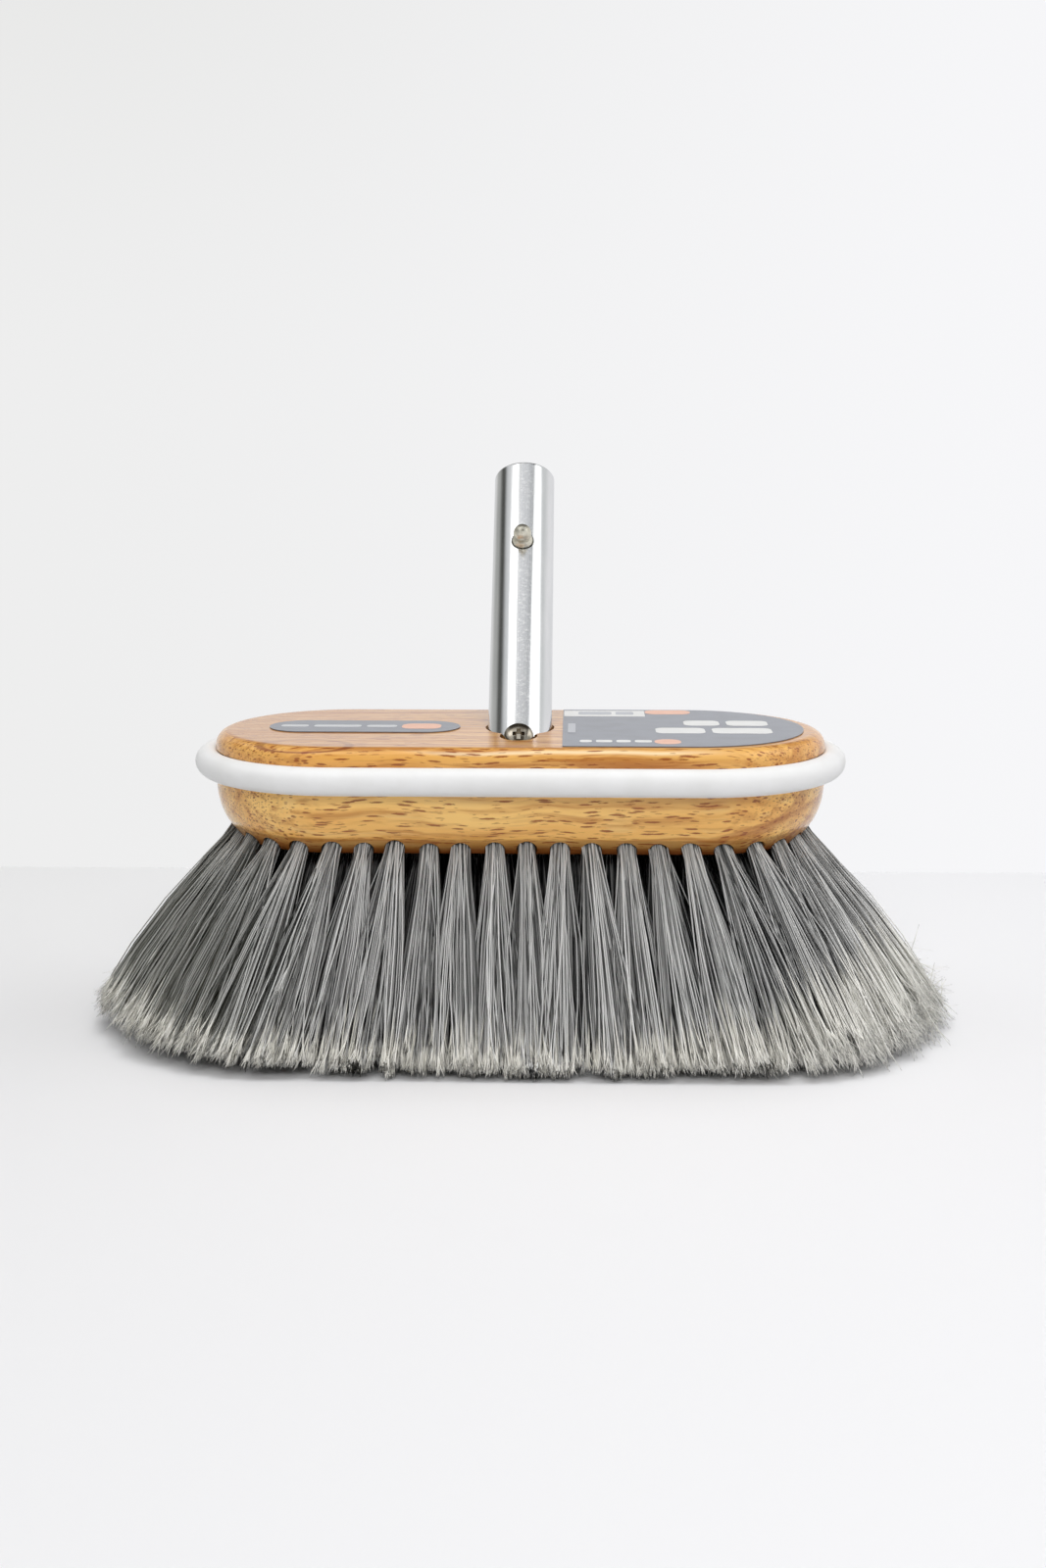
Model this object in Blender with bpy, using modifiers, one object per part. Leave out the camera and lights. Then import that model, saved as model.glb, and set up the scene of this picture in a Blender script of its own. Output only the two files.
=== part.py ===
"""Deck brush head, as an assembly of its separate pieces.

A varnished hardwood block with a bumper ring let into its side, a slanted aluminium
handle tube held by one cross screw, a snap button with its leaf spring in the tube,
two labels, and splayed bristles trimmed level.

Lengths are in metres. +X runs along the block, +Y is the side that the tube leans to,
+Z is up, and the bristle tips stand on Z = 0.
"""

import math

import bmesh
import bpy
from mathutils import Matrix, Vector

# Allowances that all pieces share
SEAT_GAP = 0.0003
CUT_OVERRUN = 0.004
MERGE_DISTANCE = 0.00001

# Block
BLOCK_LENGTH = 0.212
BLOCK_WIDTH = 0.0908
BLOCK_THICKNESS = 0.0368
TOP_ROUNDING = 0.005
SIDE_LIP = 0.0031
SIDE_CURVE_DEPTH = 0.0038
CHAMFER_HEIGHT = 0.0054
CHAMFER_DEPTH = 0.0044
END_STEPS = 20

# Bumper ring, round in section and half let into the block's side
BUMPER_DIAMETER = 0.0094
BUMPER_OFFSET = 0.0025
BUMPER_LIP = 0.0011
BUMPER_SIDES = 12

# Handle tube, with its blind socket in the block
TUBE_DIAMETER = 0.0222
TUBE_WALL = 0.0016
TUBE_FREE_LENGTH = 0.1073
SOCKET_FLOOR = 0.002
TUBE_LEAN = math.radians(39.3)
TUBE_SIDES = 40

# Cross screw, square to the tube, with its head in a counterbore
SCREW_BELOW_TOP = 0.0107
SCREW_SHANK_DIAMETER = 0.0042
SCREW_HEAD_DIAMETER = 0.0102
SCREW_HEAD_HEIGHT = 0.0032
SCREW_HEAD_EDGE = 0.0011
SCREW_WOOD_LENGTH = 0.009
SCREW_POINT_LENGTH = 0.004
SCREW_RECESS_LENGTH = 0.0054
SCREW_RECESS_WIDTH = 0.0012
SCREW_RECESS_DEPTH = 0.0016
COUNTERBORE_CLEARANCE = 0.00135
SCREW_SIDES = 24

# Snap button
BUTTON_ALONG_TUBE = 0.072
BUTTON_DIAMETER = 0.00635
BUTTON_PROTRUSION = 0.0075
BUTTON_CLEARANCE = 0.0007
FLANGE_LIP = 0.0007
FLANGE_THICKNESS = 0.0012
NECK_DIAMETER = 0.0032
TAIL_LIP = 0.0009
TAIL_THICKNESS = 0.0008
BUTTON_SIDES = 24

# Leaf spring that carries the button
SPRING_WIDTH = 0.007
SPRING_THICKNESS = 0.0007
SPRING_BEND_RADIUS = 0.003
SPRING_LEG_LENGTH = 0.034
SPRING_PAD_LENGTH = 0.011
SPRING_BEND_STEPS = 8

# Labels on the block's top
LABEL_THICKNESS = 0.00025
LABEL_LIFT = 0.0001
LARGE_LABEL_TUBE_GAP = 0.0029
LARGE_LABEL_END_MARGIN = 0.0095
LARGE_LABEL_SIDE_MARGIN = 0.0059
OVAL_LABEL_TUBE_GAP = 0.0105
OVAL_LABEL_LENGTH = 0.0667
OVAL_LABEL_WIDTH = 0.0244
LABEL_ARC_STEPS = 16

# Bristles, in tufts that are set in the lowest layer of the block
BRISTLE_LENGTH = 0.069
BACKING_RIM = 0.0016
ROOT_COVER = 0.0014
EDGE_TUFT_INSET = 0.005
EDGE_TUFT_PITCH = 0.0112
EDGE_BACKING_MARGIN = 0.008
ROW_COUNT = 5
ROW_SIDE_MARGIN = 0.0074
ROW_END_MARGIN = 0.005
ROW_TUFT_PITCH = 0.012
END_SPLAY = 0.047
SIDE_SPLAY = 0.019
STRAND_ROOT_SPREAD = 0.0015
STRAND_TIP_SPREAD = 0.0029
STRAND_ROOT_RADIUS = 0.0013
STRAND_TIP_RADIUS = 0.0019
EDGE_STRAND_SIDES = 4
ROW_STRAND_SIDES = 3
TURN_PER_STRAND = math.radians(37)

# Heights that follow from them, from the bristle tips upwards
BLOCK_TOP = BRISTLE_LENGTH + BLOCK_THICKNESS
CHAMFER_TOP = BRISTLE_LENGTH + CHAMFER_HEIGHT
BACKING_THICKNESS = CHAMFER_HEIGHT + BACKING_RIM
BACKING_TOP = BRISTLE_LENGTH + BACKING_THICKNESS
ROOT_DEPTH = BACKING_THICKNESS - ROOT_COVER
GROOVE_RADIUS = BUMPER_DIAMETER / 2 + SEAT_GAP
GROOVE_HALF_HEIGHT = math.sqrt(GROOVE_RADIUS**2 - BUMPER_OFFSET**2)
BUMPER_HEIGHT = BLOCK_TOP - TOP_ROUNDING - BUMPER_LIP - GROOVE_HALF_HEIGHT
CURVE_TOP = BUMPER_HEIGHT - GROOVE_HALF_HEIGHT - SIDE_LIP
CURVE_HEIGHT = CURVE_TOP - CHAMFER_TOP
SIDE_CURVE_RADIUS = (CURVE_HEIGHT**2 + SIDE_CURVE_DEPTH**2) / (2 * SIDE_CURVE_DEPTH)

# Plan sizes, from the middle of the block and from the middle of its round ends
END_RADIUS = BLOCK_WIDTH / 2
STRAIGHT = BLOCK_LENGTH - BLOCK_WIDTH
EDGE_TUFT_RADIUS = END_RADIUS - EDGE_TUFT_INSET
EDGE_TUFT_REACH = STRAIGHT / 2 + EDGE_TUFT_RADIUS
INNER_RADIUS = EDGE_TUFT_RADIUS - EDGE_BACKING_MARGIN
OUTER_ROW_Y = INNER_RADIUS - ROW_SIDE_MARGIN
ROW_PITCH = 2 * OUTER_ROW_Y / (ROW_COUNT - 1)

# The tube's bore, and how deep the socket can hold it
TUBE_RADIUS = TUBE_DIAMETER / 2
TUBE_BORE_RADIUS = TUBE_RADIUS - TUBE_WALL
SOCKET_RADIUS = TUBE_RADIUS + SEAT_GAP
SOCKET_DROP = BLOCK_THICKNESS - BACKING_THICKNESS - SEAT_GAP - SOCKET_FLOOR
SOCKET_DEPTH = (SOCKET_DROP - SOCKET_RADIUS * math.sin(TUBE_LEAN)) / math.cos(TUBE_LEAN)
TUBE_BURIED_LENGTH = SOCKET_DEPTH - SEAT_GAP

# Sizes of the button and its spring, as distances from the tube's axis or their own
BUTTON_RADIUS = BUTTON_DIAMETER / 2
BUTTON_HOLE_RADIUS = BUTTON_RADIUS + BUTTON_CLEARANCE
FLANGE_RADIUS = BUTTON_HOLE_RADIUS + FLANGE_LIP
NECK_RADIUS = NECK_DIAMETER / 2
FLANGE_TOP = math.sqrt(TUBE_BORE_RADIUS**2 - FLANGE_RADIUS**2) - SEAT_GAP
FLANGE_BOTTOM = FLANGE_TOP - FLANGE_THICKNESS
SPRING_FRONT = FLANGE_BOTTOM - SEAT_GAP - SPRING_THICKNESS / 2
TAIL_TOP = SPRING_FRONT - SPRING_THICKNESS / 2 - SEAT_GAP
SPRING_SEAT = math.sqrt(TUBE_BORE_RADIUS**2 - (SPRING_WIDTH / 2) ** 2) - SEAT_GAP
SPRING_BACK = SPRING_SEAT - SPRING_THICKNESS / 2


def splayed(x, y):
    """Where a bristle that leaves the block at (x, y) meets the floor."""
    share = x / EDGE_TUFT_REACH
    return Vector((x + END_SPLAY * share * abs(share), y + SIDE_SPLAY * y / EDGE_TUFT_RADIUS, 0))


# The origin lies midway between the front bristles' tips and the tube's rear rim
FRONT_REACH = splayed(0, EDGE_TUFT_RADIUS + STRAND_TIP_SPREAD).y + STRAND_TIP_RADIUS
REAR_REACH = TUBE_FREE_LENGTH * math.sin(TUBE_LEAN) + TUBE_RADIUS * math.cos(TUBE_LEAN)
BLOCK_CENTRE_Y = (FRONT_REACH - REAR_REACH) / 2


def clear_scene():
    """Removes whatever the scene holds."""
    for old in list(bpy.data.objects):
        bpy.data.objects.remove(old, do_unlink=True)


def make_collection(name):
    """A new collection linked to the scene."""
    collection = bpy.data.collections.new(name)
    bpy.context.scene.collection.children.link(collection)
    return collection


def make_material(name, colour, roughness, metallic=0.0):
    """A plain surface with a colour, a roughness and a metallic value."""
    material = bpy.data.materials.new(name)
    material.use_nodes = True
    shader = material.node_tree.nodes["Principled BSDF"]
    shader.inputs["Base Color"].default_value = (*colour, 1)
    shader.inputs["Roughness"].default_value = roughness
    shader.inputs["Metallic"].default_value = metallic
    return material


def add_object(name, data, collection, parent, material=None):
    """Puts a mesh or curve in a collection, under the frame that carries it."""
    made = bpy.data.objects.new(name, data)
    collection.objects.link(made)
    made.parent = parent
    if material:
        data.materials.append(material)
    return made


def mesh_from(name, bm, sharp_angle=math.radians(35)):
    """Closes a bmesh into a smooth-shaded mesh whose sharp corners stay crisp."""
    bmesh.ops.remove_doubles(bm, verts=bm.verts, dist=MERGE_DISTANCE)
    open_edges = [edge for edge in bm.edges if edge.is_boundary]
    if open_edges:
        bmesh.ops.holes_fill(bm, edges=open_edges, sides=0)
    bmesh.ops.recalc_face_normals(bm, faces=bm.faces)
    mesh = bpy.data.meshes.new(name)
    bm.to_mesh(mesh)
    bm.free()
    mesh.shade_smooth()
    mesh.set_sharp_from_angle(angle=sharp_angle)
    return mesh


def newest_edges(made):
    """The edges among what a sweep step has just made."""
    return [item for item in made if isinstance(item, bmesh.types.BMEdge)]


def lay_profile(bm, points, centre_x, closed):
    """Lays a profile of (radius, height) points on the front side of a turning centre."""
    verts = [bm.verts.new((centre_x, -radius, height)) for radius, height in points]
    edges = [bm.edges.new(pair) for pair in zip(verts, verts[1:])]
    if closed:
        edges.append(bm.edges.new((verts[-1], verts[0])))
    return edges


def sweep_end(bm, edges, centre_x):
    """Turns a profile half way round the upright line through an end's centre."""
    verts = {vert for edge in edges for vert in edge.verts}
    made = bmesh.ops.spin(
        bm,
        geom=[*verts, *edges],
        cent=(centre_x, 0, 0),
        axis=(0, 0, 1),
        angle=math.pi,
        steps=END_STEPS,
    )
    return newest_edges(made["geom_last"])


def sweep_straight(bm, edges, distance):
    """Draws a profile out along the block."""
    made = bmesh.ops.extrude_edge_only(bm, edges=edges)["geom"]
    verts = [item for item in made if isinstance(item, bmesh.types.BMVert)]
    bmesh.ops.translate(bm, verts=verts, vec=(distance, 0, 0))
    return newest_edges(made)


def sweep_all_round(name, points, closed):
    """Sweeps a profile along both straights and round both ends of the block."""
    bm = bmesh.new()
    edges = lay_profile(bm, points, STRAIGHT / 2, closed)
    edges = sweep_end(bm, edges, STRAIGHT / 2)
    edges = sweep_straight(bm, edges, -STRAIGHT)
    edges = sweep_end(bm, edges, -STRAIGHT / 2)
    sweep_straight(bm, edges, STRAIGHT)
    return mesh_from(name, bm)


def side_inset(height):
    """How far the curved lower side lies inside the block's outline at a height."""
    drop = max(CURVE_TOP - height, 0)
    return SIDE_CURVE_RADIUS - math.sqrt(SIDE_CURVE_RADIUS**2 - drop**2)


def side_points(low, high, steps):
    """Points up the block's curved lower side, as (radius, height)."""
    heights = [low + (high - low) * step / steps for step in range(steps + 1)]
    return [(END_RADIUS - side_inset(height), height) for height in heights]


def arc_points(centre, radius, start, end, steps):
    """Points of an arc in the (radius, height) plane, from one angle to another."""
    angles = [start + (end - start) * step / steps for step in range(steps + 1)]
    return [
        (centre[0] + radius * math.cos(angle), centre[1] + radius * math.sin(angle))
        for angle in angles
    ]


def cylinder_cutter(name, radius, low, high, sides):
    """A closed cylinder about the upright line of the frame that carries it."""
    bm = bmesh.new()
    bmesh.ops.create_cone(
        bm, cap_ends=True, segments=sides, radius1=radius, radius2=radius, depth=high - low
    )
    bmesh.ops.translate(bm, verts=bm.verts, vec=(0, 0, (low + high) / 2))
    return hide_cutter(add_object(name, mesh_from(name, bm), CUTTERS, SOCKET_FRAME))


def cross_cutter(name, radius, low, high, height, sides):
    """A cylinder square to the tube, between two distances out from its axis."""
    made = cylinder_cutter(name, radius, low, high, sides)
    made.rotation_euler.x = math.pi / 2
    made.location.z = height
    return made


def box_cutter(name, low, high, parent):
    """A closed box between two corners."""
    low = Vector(low)
    high = Vector(high)
    bm = bmesh.new()
    bmesh.ops.create_cube(bm, size=1)
    bmesh.ops.scale(bm, verts=bm.verts, vec=high - low)
    bmesh.ops.translate(bm, verts=bm.verts, vec=(low + high) / 2)
    return hide_cutter(add_object(name, mesh_from(name, bm), CUTTERS, parent))


def hide_cutter(cutter):
    """Shows a cutter as wires and keeps it out of renders."""
    cutter.display_type = "WIRE"
    cutter.hide_render = True
    return cutter


def combine(target, other, operation):
    """Adds one Boolean step to a piece."""
    step = target.modifiers.new(f"{operation.lower()} {other.name}", "BOOLEAN")
    step.operation = operation
    step.solver = "EXACT"
    step.object = other


def turned(name, points, sides, parent, material):
    """A piece turned about its own Z from a profile that runs from top to bottom."""
    mesh = bpy.data.meshes.new(name)
    edges = [(index, index + 1) for index in range(len(points) - 1)]
    mesh.from_pydata([(radius, 0, height) for radius, height in points], edges, [])
    made = add_object(name, mesh, PIECES, parent, material)
    screw = made.modifiers.new("turn", "SCREW")
    screw.axis = "Z"
    screw.steps = sides
    screw.render_steps = sides
    screw.use_merge_vertices = True
    screw.merge_threshold = MERGE_DISTANCE
    screw.use_smooth_shade = True
    return made


def build_block():
    """The wooden block: rounded top edge, bumper groove and drawn-in lower side."""
    groove_centre = (END_RADIUS + BUMPER_OFFSET, BUMPER_HEIGHT)
    groove_half = math.acos(BUMPER_OFFSET / GROOVE_RADIUS)
    round_centre = (END_RADIUS - TOP_ROUNDING, BLOCK_TOP - TOP_ROUNDING)
    bottom = BACKING_TOP + SEAT_GAP
    profile = [(0, BLOCK_TOP)]
    profile += arc_points(round_centre, TOP_ROUNDING, math.pi / 2, 0, 5)
    profile += arc_points(groove_centre, GROOVE_RADIUS, math.pi - groove_half, math.pi + groove_half, 6)
    profile += reversed(side_points(bottom, CURVE_TOP, 5))
    profile += [(0, bottom)]
    mesh = sweep_all_round("block", profile, closed=False)
    block = add_object("block", mesh, PIECES, BRUSH_FRAME, WOOD)
    socket_mouth = TUBE_DIAMETER * math.tan(TUBE_LEAN) + CUT_OVERRUN
    cutters = [
        cylinder_cutter("socket cutter", SOCKET_RADIUS, -SOCKET_DEPTH, socket_mouth, TUBE_SIDES),
        cross_cutter(
            "counterbore cutter",
            SCREW_HEAD_DIAMETER / 2 + COUNTERBORE_CLEARANCE,
            TUBE_RADIUS - 2 * TUBE_WALL,
            BLOCK_THICKNESS,
            -SCREW_BELOW_TOP,
            SCREW_SIDES,
        ),
        cross_cutter(
            "pilot cutter",
            SCREW_SHANK_DIAMETER / 2 + SEAT_GAP,
            -TUBE_RADIUS - SCREW_WOOD_LENGTH - SEAT_GAP,
            0,
            -SCREW_BELOW_TOP,
            SCREW_SIDES,
        ),
    ]
    for cutter in cutters:
        combine(block, cutter, "DIFFERENCE")


def build_bumper():
    """The soft white ring let into the groove round the block's side."""
    centre = (END_RADIUS + BUMPER_OFFSET, BUMPER_HEIGHT)
    profile = arc_points(centre, BUMPER_DIAMETER / 2, 0, 2 * math.pi, BUMPER_SIDES)[:-1]
    mesh = sweep_all_round("bumper_ring", profile, closed=True)
    add_object("bumper_ring", mesh, PIECES, BRUSH_FRAME, BUMPER_VINYL)


def build_tube():
    """The handle tube, drilled for the button and for the cross screw."""
    wall = [
        (TUBE_RADIUS, TUBE_FREE_LENGTH),
        (TUBE_RADIUS, -TUBE_BURIED_LENGTH),
        (TUBE_BORE_RADIUS, -TUBE_BURIED_LENGTH),
        (TUBE_BORE_RADIUS, TUBE_FREE_LENGTH),
        (TUBE_RADIUS, TUBE_FREE_LENGTH),
    ]
    tube = turned("handle_tube", wall, TUBE_SIDES, SOCKET_FRAME, ALUMINIUM)
    weld = tube.modifiers.new("close the wall", "WELD")
    weld.merge_threshold = MERGE_DISTANCE
    outside = TUBE_RADIUS + CUT_OVERRUN
    button_hole = cross_cutter(
        "button hole cutter", BUTTON_HOLE_RADIUS, 0, outside, BUTTON_ALONG_TUBE, BUTTON_SIDES
    )
    screw_hole_radius = SCREW_SHANK_DIAMETER / 2 + SEAT_GAP
    screw_holes = cross_cutter(
        "screw hole cutter", screw_hole_radius, -outside, outside, -SCREW_BELOW_TOP, SCREW_SIDES
    )
    combine(tube, button_hole, "DIFFERENCE")
    combine(tube, screw_holes, "DIFFERENCE")


def build_screw():
    """The pan-head screw that pins the tube in the block."""
    head = SCREW_HEAD_DIAMETER / 2
    shank = SCREW_SHANK_DIAMETER / 2
    seat = TUBE_RADIUS + SEAT_GAP
    tip = -TUBE_RADIUS - SCREW_WOOD_LENGTH
    crown = SCREW_HEAD_HEIGHT - SCREW_HEAD_EDGE
    steps = 6
    profile = []
    for step in range(steps + 1):
        angle = math.pi / 2 * step / steps
        height = seat + SCREW_HEAD_EDGE + crown * math.cos(angle)
        profile.append((head * math.sin(angle), height))
    profile += [(head, seat), (shank, seat), (shank, tip + SCREW_POINT_LENGTH), (0, tip)]
    screw = turned("cross_screw", profile, SCREW_SIDES, SOCKET_FRAME, STEEL)
    screw.location.z = -SCREW_BELOW_TOP
    screw.rotation_euler.x = math.pi / 2
    top = seat + SCREW_HEAD_HEIGHT
    long = SCREW_RECESS_LENGTH / 2
    narrow = SCREW_RECESS_WIDTH / 2
    for name, x, y in (("recess along", long, narrow), ("recess across", narrow, long)):
        low = (-x, -y, top - SCREW_RECESS_DEPTH)
        combine(screw, box_cutter(name, low, (x, y, top + CUT_OVERRUN), screw), "DIFFERENCE")


def build_button():
    """The domed lock button, with the flange and riveted tail that hold the spring."""
    dome_centre = TUBE_RADIUS + BUTTON_PROTRUSION - BUTTON_RADIUS
    profile = arc_points((0, dome_centre), BUTTON_RADIUS, math.pi / 2, 0, 6)
    profile[0] = (0, dome_centre + BUTTON_RADIUS)
    profile += [
        (BUTTON_RADIUS, FLANGE_TOP),
        (FLANGE_RADIUS, FLANGE_TOP),
        (FLANGE_RADIUS, FLANGE_BOTTOM),
        (NECK_RADIUS, FLANGE_BOTTOM),
        (NECK_RADIUS, TAIL_TOP),
        (NECK_RADIUS + TAIL_LIP, TAIL_TOP),
        (NECK_RADIUS + TAIL_LIP, TAIL_TOP - TAIL_THICKNESS),
        (0, TAIL_TOP - TAIL_THICKNESS),
    ]
    button = turned("snap_button", profile, BUTTON_SIDES, SOCKET_FRAME, STEEL)
    button.location.z = BUTTON_ALONG_TUBE
    button.rotation_euler.x = math.pi / 2


def spring_path():
    """The leaf spring's middle line, as (distance out from the axis, height up the tube)."""
    bend_height = BUTTON_ALONG_TUBE - SPRING_LEG_LENGTH
    bend_centre = SPRING_BEND_RADIUS - SPRING_BACK
    path = [
        (SPRING_FRONT, BUTTON_ALONG_TUBE + SPRING_PAD_LENGTH / 2),
        (SPRING_FRONT, BUTTON_ALONG_TUBE - SPRING_PAD_LENGTH / 2),
    ]
    path += arc_points((bend_centre, bend_height), SPRING_BEND_RADIUS, 0, -math.pi, SPRING_BEND_STEPS)
    path.append((-SPRING_BACK, BUTTON_ALONG_TUBE))
    return path


def build_spring():
    """The bent leaf spring inside the tube, with the hole for the button's neck."""
    bm = bmesh.new()
    verts = [bm.verts.new((-SPRING_WIDTH / 2, -out, height)) for out, height in spring_path()]
    edges = [bm.edges.new(pair) for pair in zip(verts, verts[1:])]
    made = bmesh.ops.extrude_edge_only(bm, edges=edges)["geom"]
    new_verts = [item for item in made if isinstance(item, bmesh.types.BMVert)]
    bmesh.ops.translate(bm, verts=new_verts, vec=(SPRING_WIDTH, 0, 0))
    bmesh.ops.recalc_face_normals(bm, faces=bm.faces)
    mesh = bpy.data.meshes.new("button_spring")
    bm.to_mesh(mesh)
    bm.free()
    spring = add_object("button_spring", mesh, PIECES, SOCKET_FRAME, STEEL)
    leaf = spring.modifiers.new("leaf thickness", "SOLIDIFY")
    leaf.thickness = SPRING_THICKNESS
    leaf.offset = 0
    leaf.use_even_offset = True
    neck_hole = cross_cutter(
        "neck hole cutter",
        NECK_RADIUS + SEAT_GAP,
        TAIL_TOP,
        FLANGE_BOTTOM,
        BUTTON_ALONG_TUBE,
        BUTTON_SIDES,
    )
    combine(spring, neck_hole, "DIFFERENCE")


def flat_label(name, outline, material):
    """A thin label of the given outline on the block's top."""
    curve = bpy.data.curves.new(name, "CURVE")
    curve.dimensions = "2D"
    curve.fill_mode = "BOTH"
    curve.extrude = LABEL_THICKNESS / 2
    spline = curve.splines.new("POLY")
    spline.points.add(len(outline) - 1)
    for point, (x, y) in zip(spline.points, outline):
        point.co = (x, y, 0, 1)
    spline.use_cyclic_u = True
    label = add_object(name, curve, PIECES, BRUSH_FRAME, material)
    label.location.z = BLOCK_TOP + LABEL_LIFT + LABEL_THICKNESS / 2


def build_labels():
    """The large label with one round end, and the oval one."""
    quarter = math.pi / 2
    large = END_RADIUS - LARGE_LABEL_SIDE_MARGIN
    centre = (BLOCK_LENGTH / 2 - LARGE_LABEL_END_MARGIN - large, 0)
    start = TUBE_RADIUS + LARGE_LABEL_TUBE_GAP
    outline = arc_points(centre, large, -quarter, quarter, 2 * LABEL_ARC_STEPS)
    outline += [(start, large), (start, -large)]
    flat_label("label_large", outline, LABEL_GREY)
    oval = OVAL_LABEL_WIDTH / 2
    right = -TUBE_RADIUS - OVAL_LABEL_TUBE_GAP - oval
    left = right - OVAL_LABEL_LENGTH + OVAL_LABEL_WIDTH
    outline = arc_points((right, 0), oval, -quarter, quarter, LABEL_ARC_STEPS)
    outline += arc_points((left, 0), oval, quarter, 3 * quarter, LABEL_ARC_STEPS)
    flat_label("label_oval", outline, LABEL_GREY)


def add_strand(bm, root, tip, sides, turn):
    """One straight strand with level ends, from inside its backing down to the floor."""
    fall = (tip - root) / BRISTLE_LENGTH
    top = root - fall * ROOT_DEPTH
    made = bmesh.ops.create_cone(
        bm,
        cap_ends=True,
        segments=sides,
        radius1=STRAND_TIP_RADIUS,
        radius2=STRAND_ROOT_RADIUS,
        depth=BRISTLE_LENGTH + ROOT_DEPTH,
    )["verts"]
    bmesh.ops.rotate(bm, verts=made, cent=(0, 0, 0), matrix=Matrix.Rotation(turn, 3, "Z"))
    for vert in made:
        end = top if vert.co.z > 0 else tip
        vert.co += Vector((end.x, end.y, (BRISTLE_LENGTH + ROOT_DEPTH) / 2))


def set_tufts(backing, tufts, sides):
    """Fuses tufts of four strands each to a slice of the backing."""
    bm = bmesh.new()
    for number, (centre, along) in enumerate(tufts):
        across = Vector((-along.y, along.x, 0))
        corners = ((-1, -1), (1, -1), (1, 1), (-1, 1))
        for corner, (step_along, step_across) in enumerate(corners):
            offset = along * step_along + across * step_across
            root = centre + offset * STRAND_ROOT_SPREAD
            foot = centre + offset * STRAND_TIP_SPREAD
            turn = TURN_PER_STRAND * (4 * number + corner) if sides == ROW_STRAND_SIDES else 0
            add_strand(bm, root, splayed(foot.x, foot.y), sides, turn + math.pi / 4)
    name = f"{backing.name} strands"
    strands = add_object(name, mesh_from(name, bm), CUTTERS, BRUSH_FRAME)
    combine(backing, hide_cutter(strands), "UNION")


def edge_profile():
    """The section of the backing's outer band, with the chamfer under its rim."""
    return [
        (INNER_RADIUS, BACKING_TOP),
        *reversed(side_points(CHAMFER_TOP, BACKING_TOP, 1)),
        (END_RADIUS - side_inset(CHAMFER_TOP) - CHAMFER_DEPTH, BRISTLE_LENGTH),
        (INNER_RADIUS, BRISTLE_LENGTH),
    ]


def turn_round(bm):
    """Turns a band of backing to the opposite side of the block."""
    bmesh.ops.rotate(bm, verts=bm.verts, cent=(0, 0, 0), matrix=Matrix.Rotation(math.pi, 3, "Z"))


def build_side_bristles(name, side):
    """One long side of the outer tuft line, with its band of backing."""
    bm = bmesh.new()
    length = STRAIGHT - SEAT_GAP
    edges = lay_profile(bm, edge_profile(), -length / 2, closed=True)
    sweep_straight(bm, edges, length)
    if side > 0:
        turn_round(bm)
    backing = add_object(name, mesh_from(name, bm), PIECES, BRUSH_FRAME, BRISTLE)
    count = round(STRAIGHT / EDGE_TUFT_PITCH)
    tufts = []
    for number in range(count):
        x = STRAIGHT * ((number + 0.5) / count - 0.5)
        tufts.append((Vector((x, side * EDGE_TUFT_RADIUS, 0)), Vector((1, 0, 0))))
    set_tufts(backing, tufts, EDGE_STRAND_SIDES)


def build_end_bristles(name, side):
    """One round end of the outer tuft line, with its band of backing."""
    bm = bmesh.new()
    edges = lay_profile(bm, edge_profile(), STRAIGHT / 2 + SEAT_GAP / 2, closed=True)
    sweep_end(bm, edges, STRAIGHT / 2 + SEAT_GAP / 2)
    if side < 0:
        turn_round(bm)
    backing = add_object(name, mesh_from(name, bm), PIECES, BRUSH_FRAME, BRISTLE)
    count = round(math.pi * EDGE_TUFT_RADIUS / EDGE_TUFT_PITCH)
    tufts = []
    for number in range(count):
        angle = math.pi * ((number + 0.5) / count - 0.5)
        outward = Vector((math.cos(angle) * side, math.sin(angle), 0))
        centre = Vector((side * STRAIGHT / 2, 0, 0)) + outward * EDGE_TUFT_RADIUS
        tufts.append((centre, Vector((-outward.y, outward.x, 0))))
    set_tufts(backing, tufts, EDGE_STRAND_SIDES)


def strip_edges(row):
    """The two edges, across the block, of an inner row's strip of backing."""
    middle = row * ROW_PITCH - OUTER_ROW_Y
    half = (ROW_PITCH - SEAT_GAP) / 2
    low = middle - half if row > 0 else -INNER_RADIUS
    high = middle + half if row < ROW_COUNT - 1 else INNER_RADIUS
    return low, high


def build_row_bristles(row, name, side):
    """Half of one inner row of tufts, on its own strip of the backing."""
    backing = add_object(name, inner_layer_mesh(name), PIECES, BRUSH_FRAME, BRISTLE)
    ends = sorted((side * SEAT_GAP / 2, side * BLOCK_LENGTH / 2))
    low_y, high_y = strip_edges(row)
    low = (ends[0], low_y, BRISTLE_LENGTH - CUT_OVERRUN)
    high = (ends[1], high_y, BACKING_TOP + CUT_OVERRUN)
    combine(backing, box_cutter(f"{name} strip", low, high, BRUSH_FRAME), "INTERSECT")
    row_y = row * ROW_PITCH - OUTER_ROW_Y
    row_end_radius = INNER_RADIUS - ROW_END_MARGIN
    reach = STRAIGHT / 2 + math.sqrt(row_end_radius**2 - row_y**2)
    count = round(reach / ROW_TUFT_PITCH + 0.5)
    pitch = reach / (count - 0.5)
    tufts = []
    for number in range(count):
        x = side * pitch * (number + 0.5)
        tufts.append((Vector((x, row_y, 0)), Vector((1, 0, 0))))
    set_tufts(backing, tufts, ROW_STRAND_SIDES)


def inner_layer_mesh(name):
    """The whole of the backing inside the outer band."""
    radius = INNER_RADIUS - SEAT_GAP
    profile = [(0, BACKING_TOP), (radius, BACKING_TOP), (radius, BRISTLE_LENGTH), (0, BRISTLE_LENGTH)]
    return sweep_all_round(name, profile, closed=False)


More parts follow.
